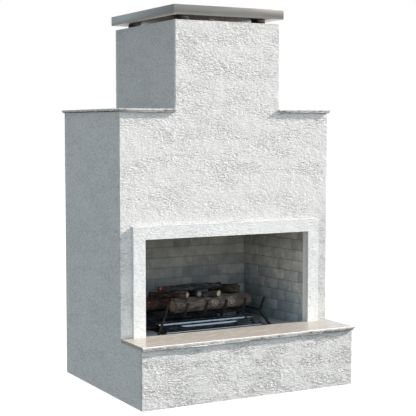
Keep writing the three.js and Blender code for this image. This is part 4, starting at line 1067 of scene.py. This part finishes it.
def ceramicLog(node, log):
    start, end = Vector(log["from"]), Vector(log["to"])
    length = (end - start).length
    first, last = log["radii"]
    knots = []
    for place, turn, width, height in log.get("knots", []):
        spot = np.array([math.cos(turn) * first, math.sin(turn) * first, place * length])
        knots.append((spot, width, height))
    piece = blankLog(length, log["rings"])
    mesh = piece.data
    points = cornerPlaces(mesh)
    share = np.clip(points[:, 2] / length, 0, 1)
    radius = first + (last - first) * share + log.get("swell", 0) * np.sin(math.pi * share)
    points[:, :2] *= radius[:, None]
    dip, narrower = bark["knotDip"]
    for spot, width, height in knots:        # a knot is a low swelling with a dip in it
        away = np.linalg.norm(points - spot, axis=1) / width
        rise = height * (np.exp(-away ** 2) - dip * np.exp(-(away * narrower) ** 2))
        points[:, :2] *= (1 + rise / first)[:, None]
    shift = bark["apart"] * log["seed"]
    points[:, 2] = points[:, 2] / bark["stretch"] + shift
    mesh.vertices.foreach_set("co", points.ravel())
    group = piece.vertex_groups.new(name="bark")
    for vertex in mesh.vertices:
        outside = math.hypot(vertex.co.x, vertex.co.y) > bark["rim"] * min(first, last)
        group.add([vertex.index], float(outside), "REPLACE")
    for texture, depth, level in (("ridges", "ridgeDepth", 0.9), ("lumps", "lumpDepth", 0.6)):
        modify(piece, "DISPLACE", texture=bark[texture], texture_coords="LOCAL", direction="NORMAL",
               strength=bark[depth], mid_level=level, vertex_group="bark")
    mesh = piece.data
    points = cornerPlaces(mesh)
    points[:, 2] = (points[:, 2] - shift) * bark["stretch"]
    mesh.vertices.foreach_set("co", points.ravel())
    mesh.update()
    if "cut" in log:        # an end sawn off at a slant
        cutPlace, outward = log["cut"]
        only(piece)
        editing(True)
        bpy.ops.mesh.select_all(action="SELECT")
        bpy.ops.mesh.bisect(plane_co=(0, 0, cutPlace), plane_no=outward, use_fill=True, clear_outer=True)
        editing(False)
        mesh = piece.data

    def isSawn(face):
        if "cut" in log:
            return face.normal.dot(Vector(outward)) > bark["cutFacing"]
        between = bark["endDepth"] < face.center.z < length - bark["endDepth"]
        return abs(face.normal.z) > bark["endFacing"] and not between

    # What the finish reads: the place before the log is turned, its sawn faces, and the distance to a knot
    grain = mesh.attributes.new("grainPlace", "FLOAT_VECTOR", "POINT")
    grain.data.foreach_set("vector", cornerPlaces(mesh).ravel())
    sawn = mesh.attributes.new("sawnEnd", "FLOAT", "FACE")
    sawn.data.foreach_set("value", [float(isSawn(face)) for face in mesh.polygons])
    reach = mesh.attributes.new("knotReach", "FLOAT", "POINT")
    reaches = [bark["knotFar"]] * len(mesh.vertices)
    for spot, width, _ in knots:
        for vertex in mesh.vertices:
            wobble = 1 + sum(part * noise.noise(vertex.co * fine) for part, fine in bark["knotWobble"])
            away = (vertex.co - Vector(spot)).length / width * wobble
            reaches[vertex.index] = min(reaches[vertex.index], away)
    reach.data.foreach_set("value", reaches)
    turned = (end - start).to_track_quat("Z", "Y").to_matrix().to_4x4()
    settle(piece, Matrix.Translation(start) @ turned)
    smooth(piece, bark["smooth"])
    finished(piece, log["name"], log["riding"], [node], log.get("slot", "log_ceramic"), barks[log["finish"]])


for node, log in logs.items():
    ceramicLog(node, log)
print("stage: logs")


# What the CAD carries over

kept = {        # the nodes' names under each finish
    "galvanised_steel": ["base_frame", "firebox_platform", "lintel_angle", "flue_pipe", "chimney_top_plate"]
                        + [name for name in nodes if "post_" in name],
    "cement_board": ["shoulder_deck", "hearth_deck"],
    "sooted_steel": ["smoke_hood"],
    "hearthTile": ["firebox_header", "firebox_floor"],
    "black_steel": ["burner_tube"],
    "black_iron": ["gas_supply_pipe"],
}
for finish, names in kept.items():
    for name in names:
        nodes[name].data.materials.clear()
        nodes[name].data.materials.append(finishes[finish])
print("stage: carried-over nodes")
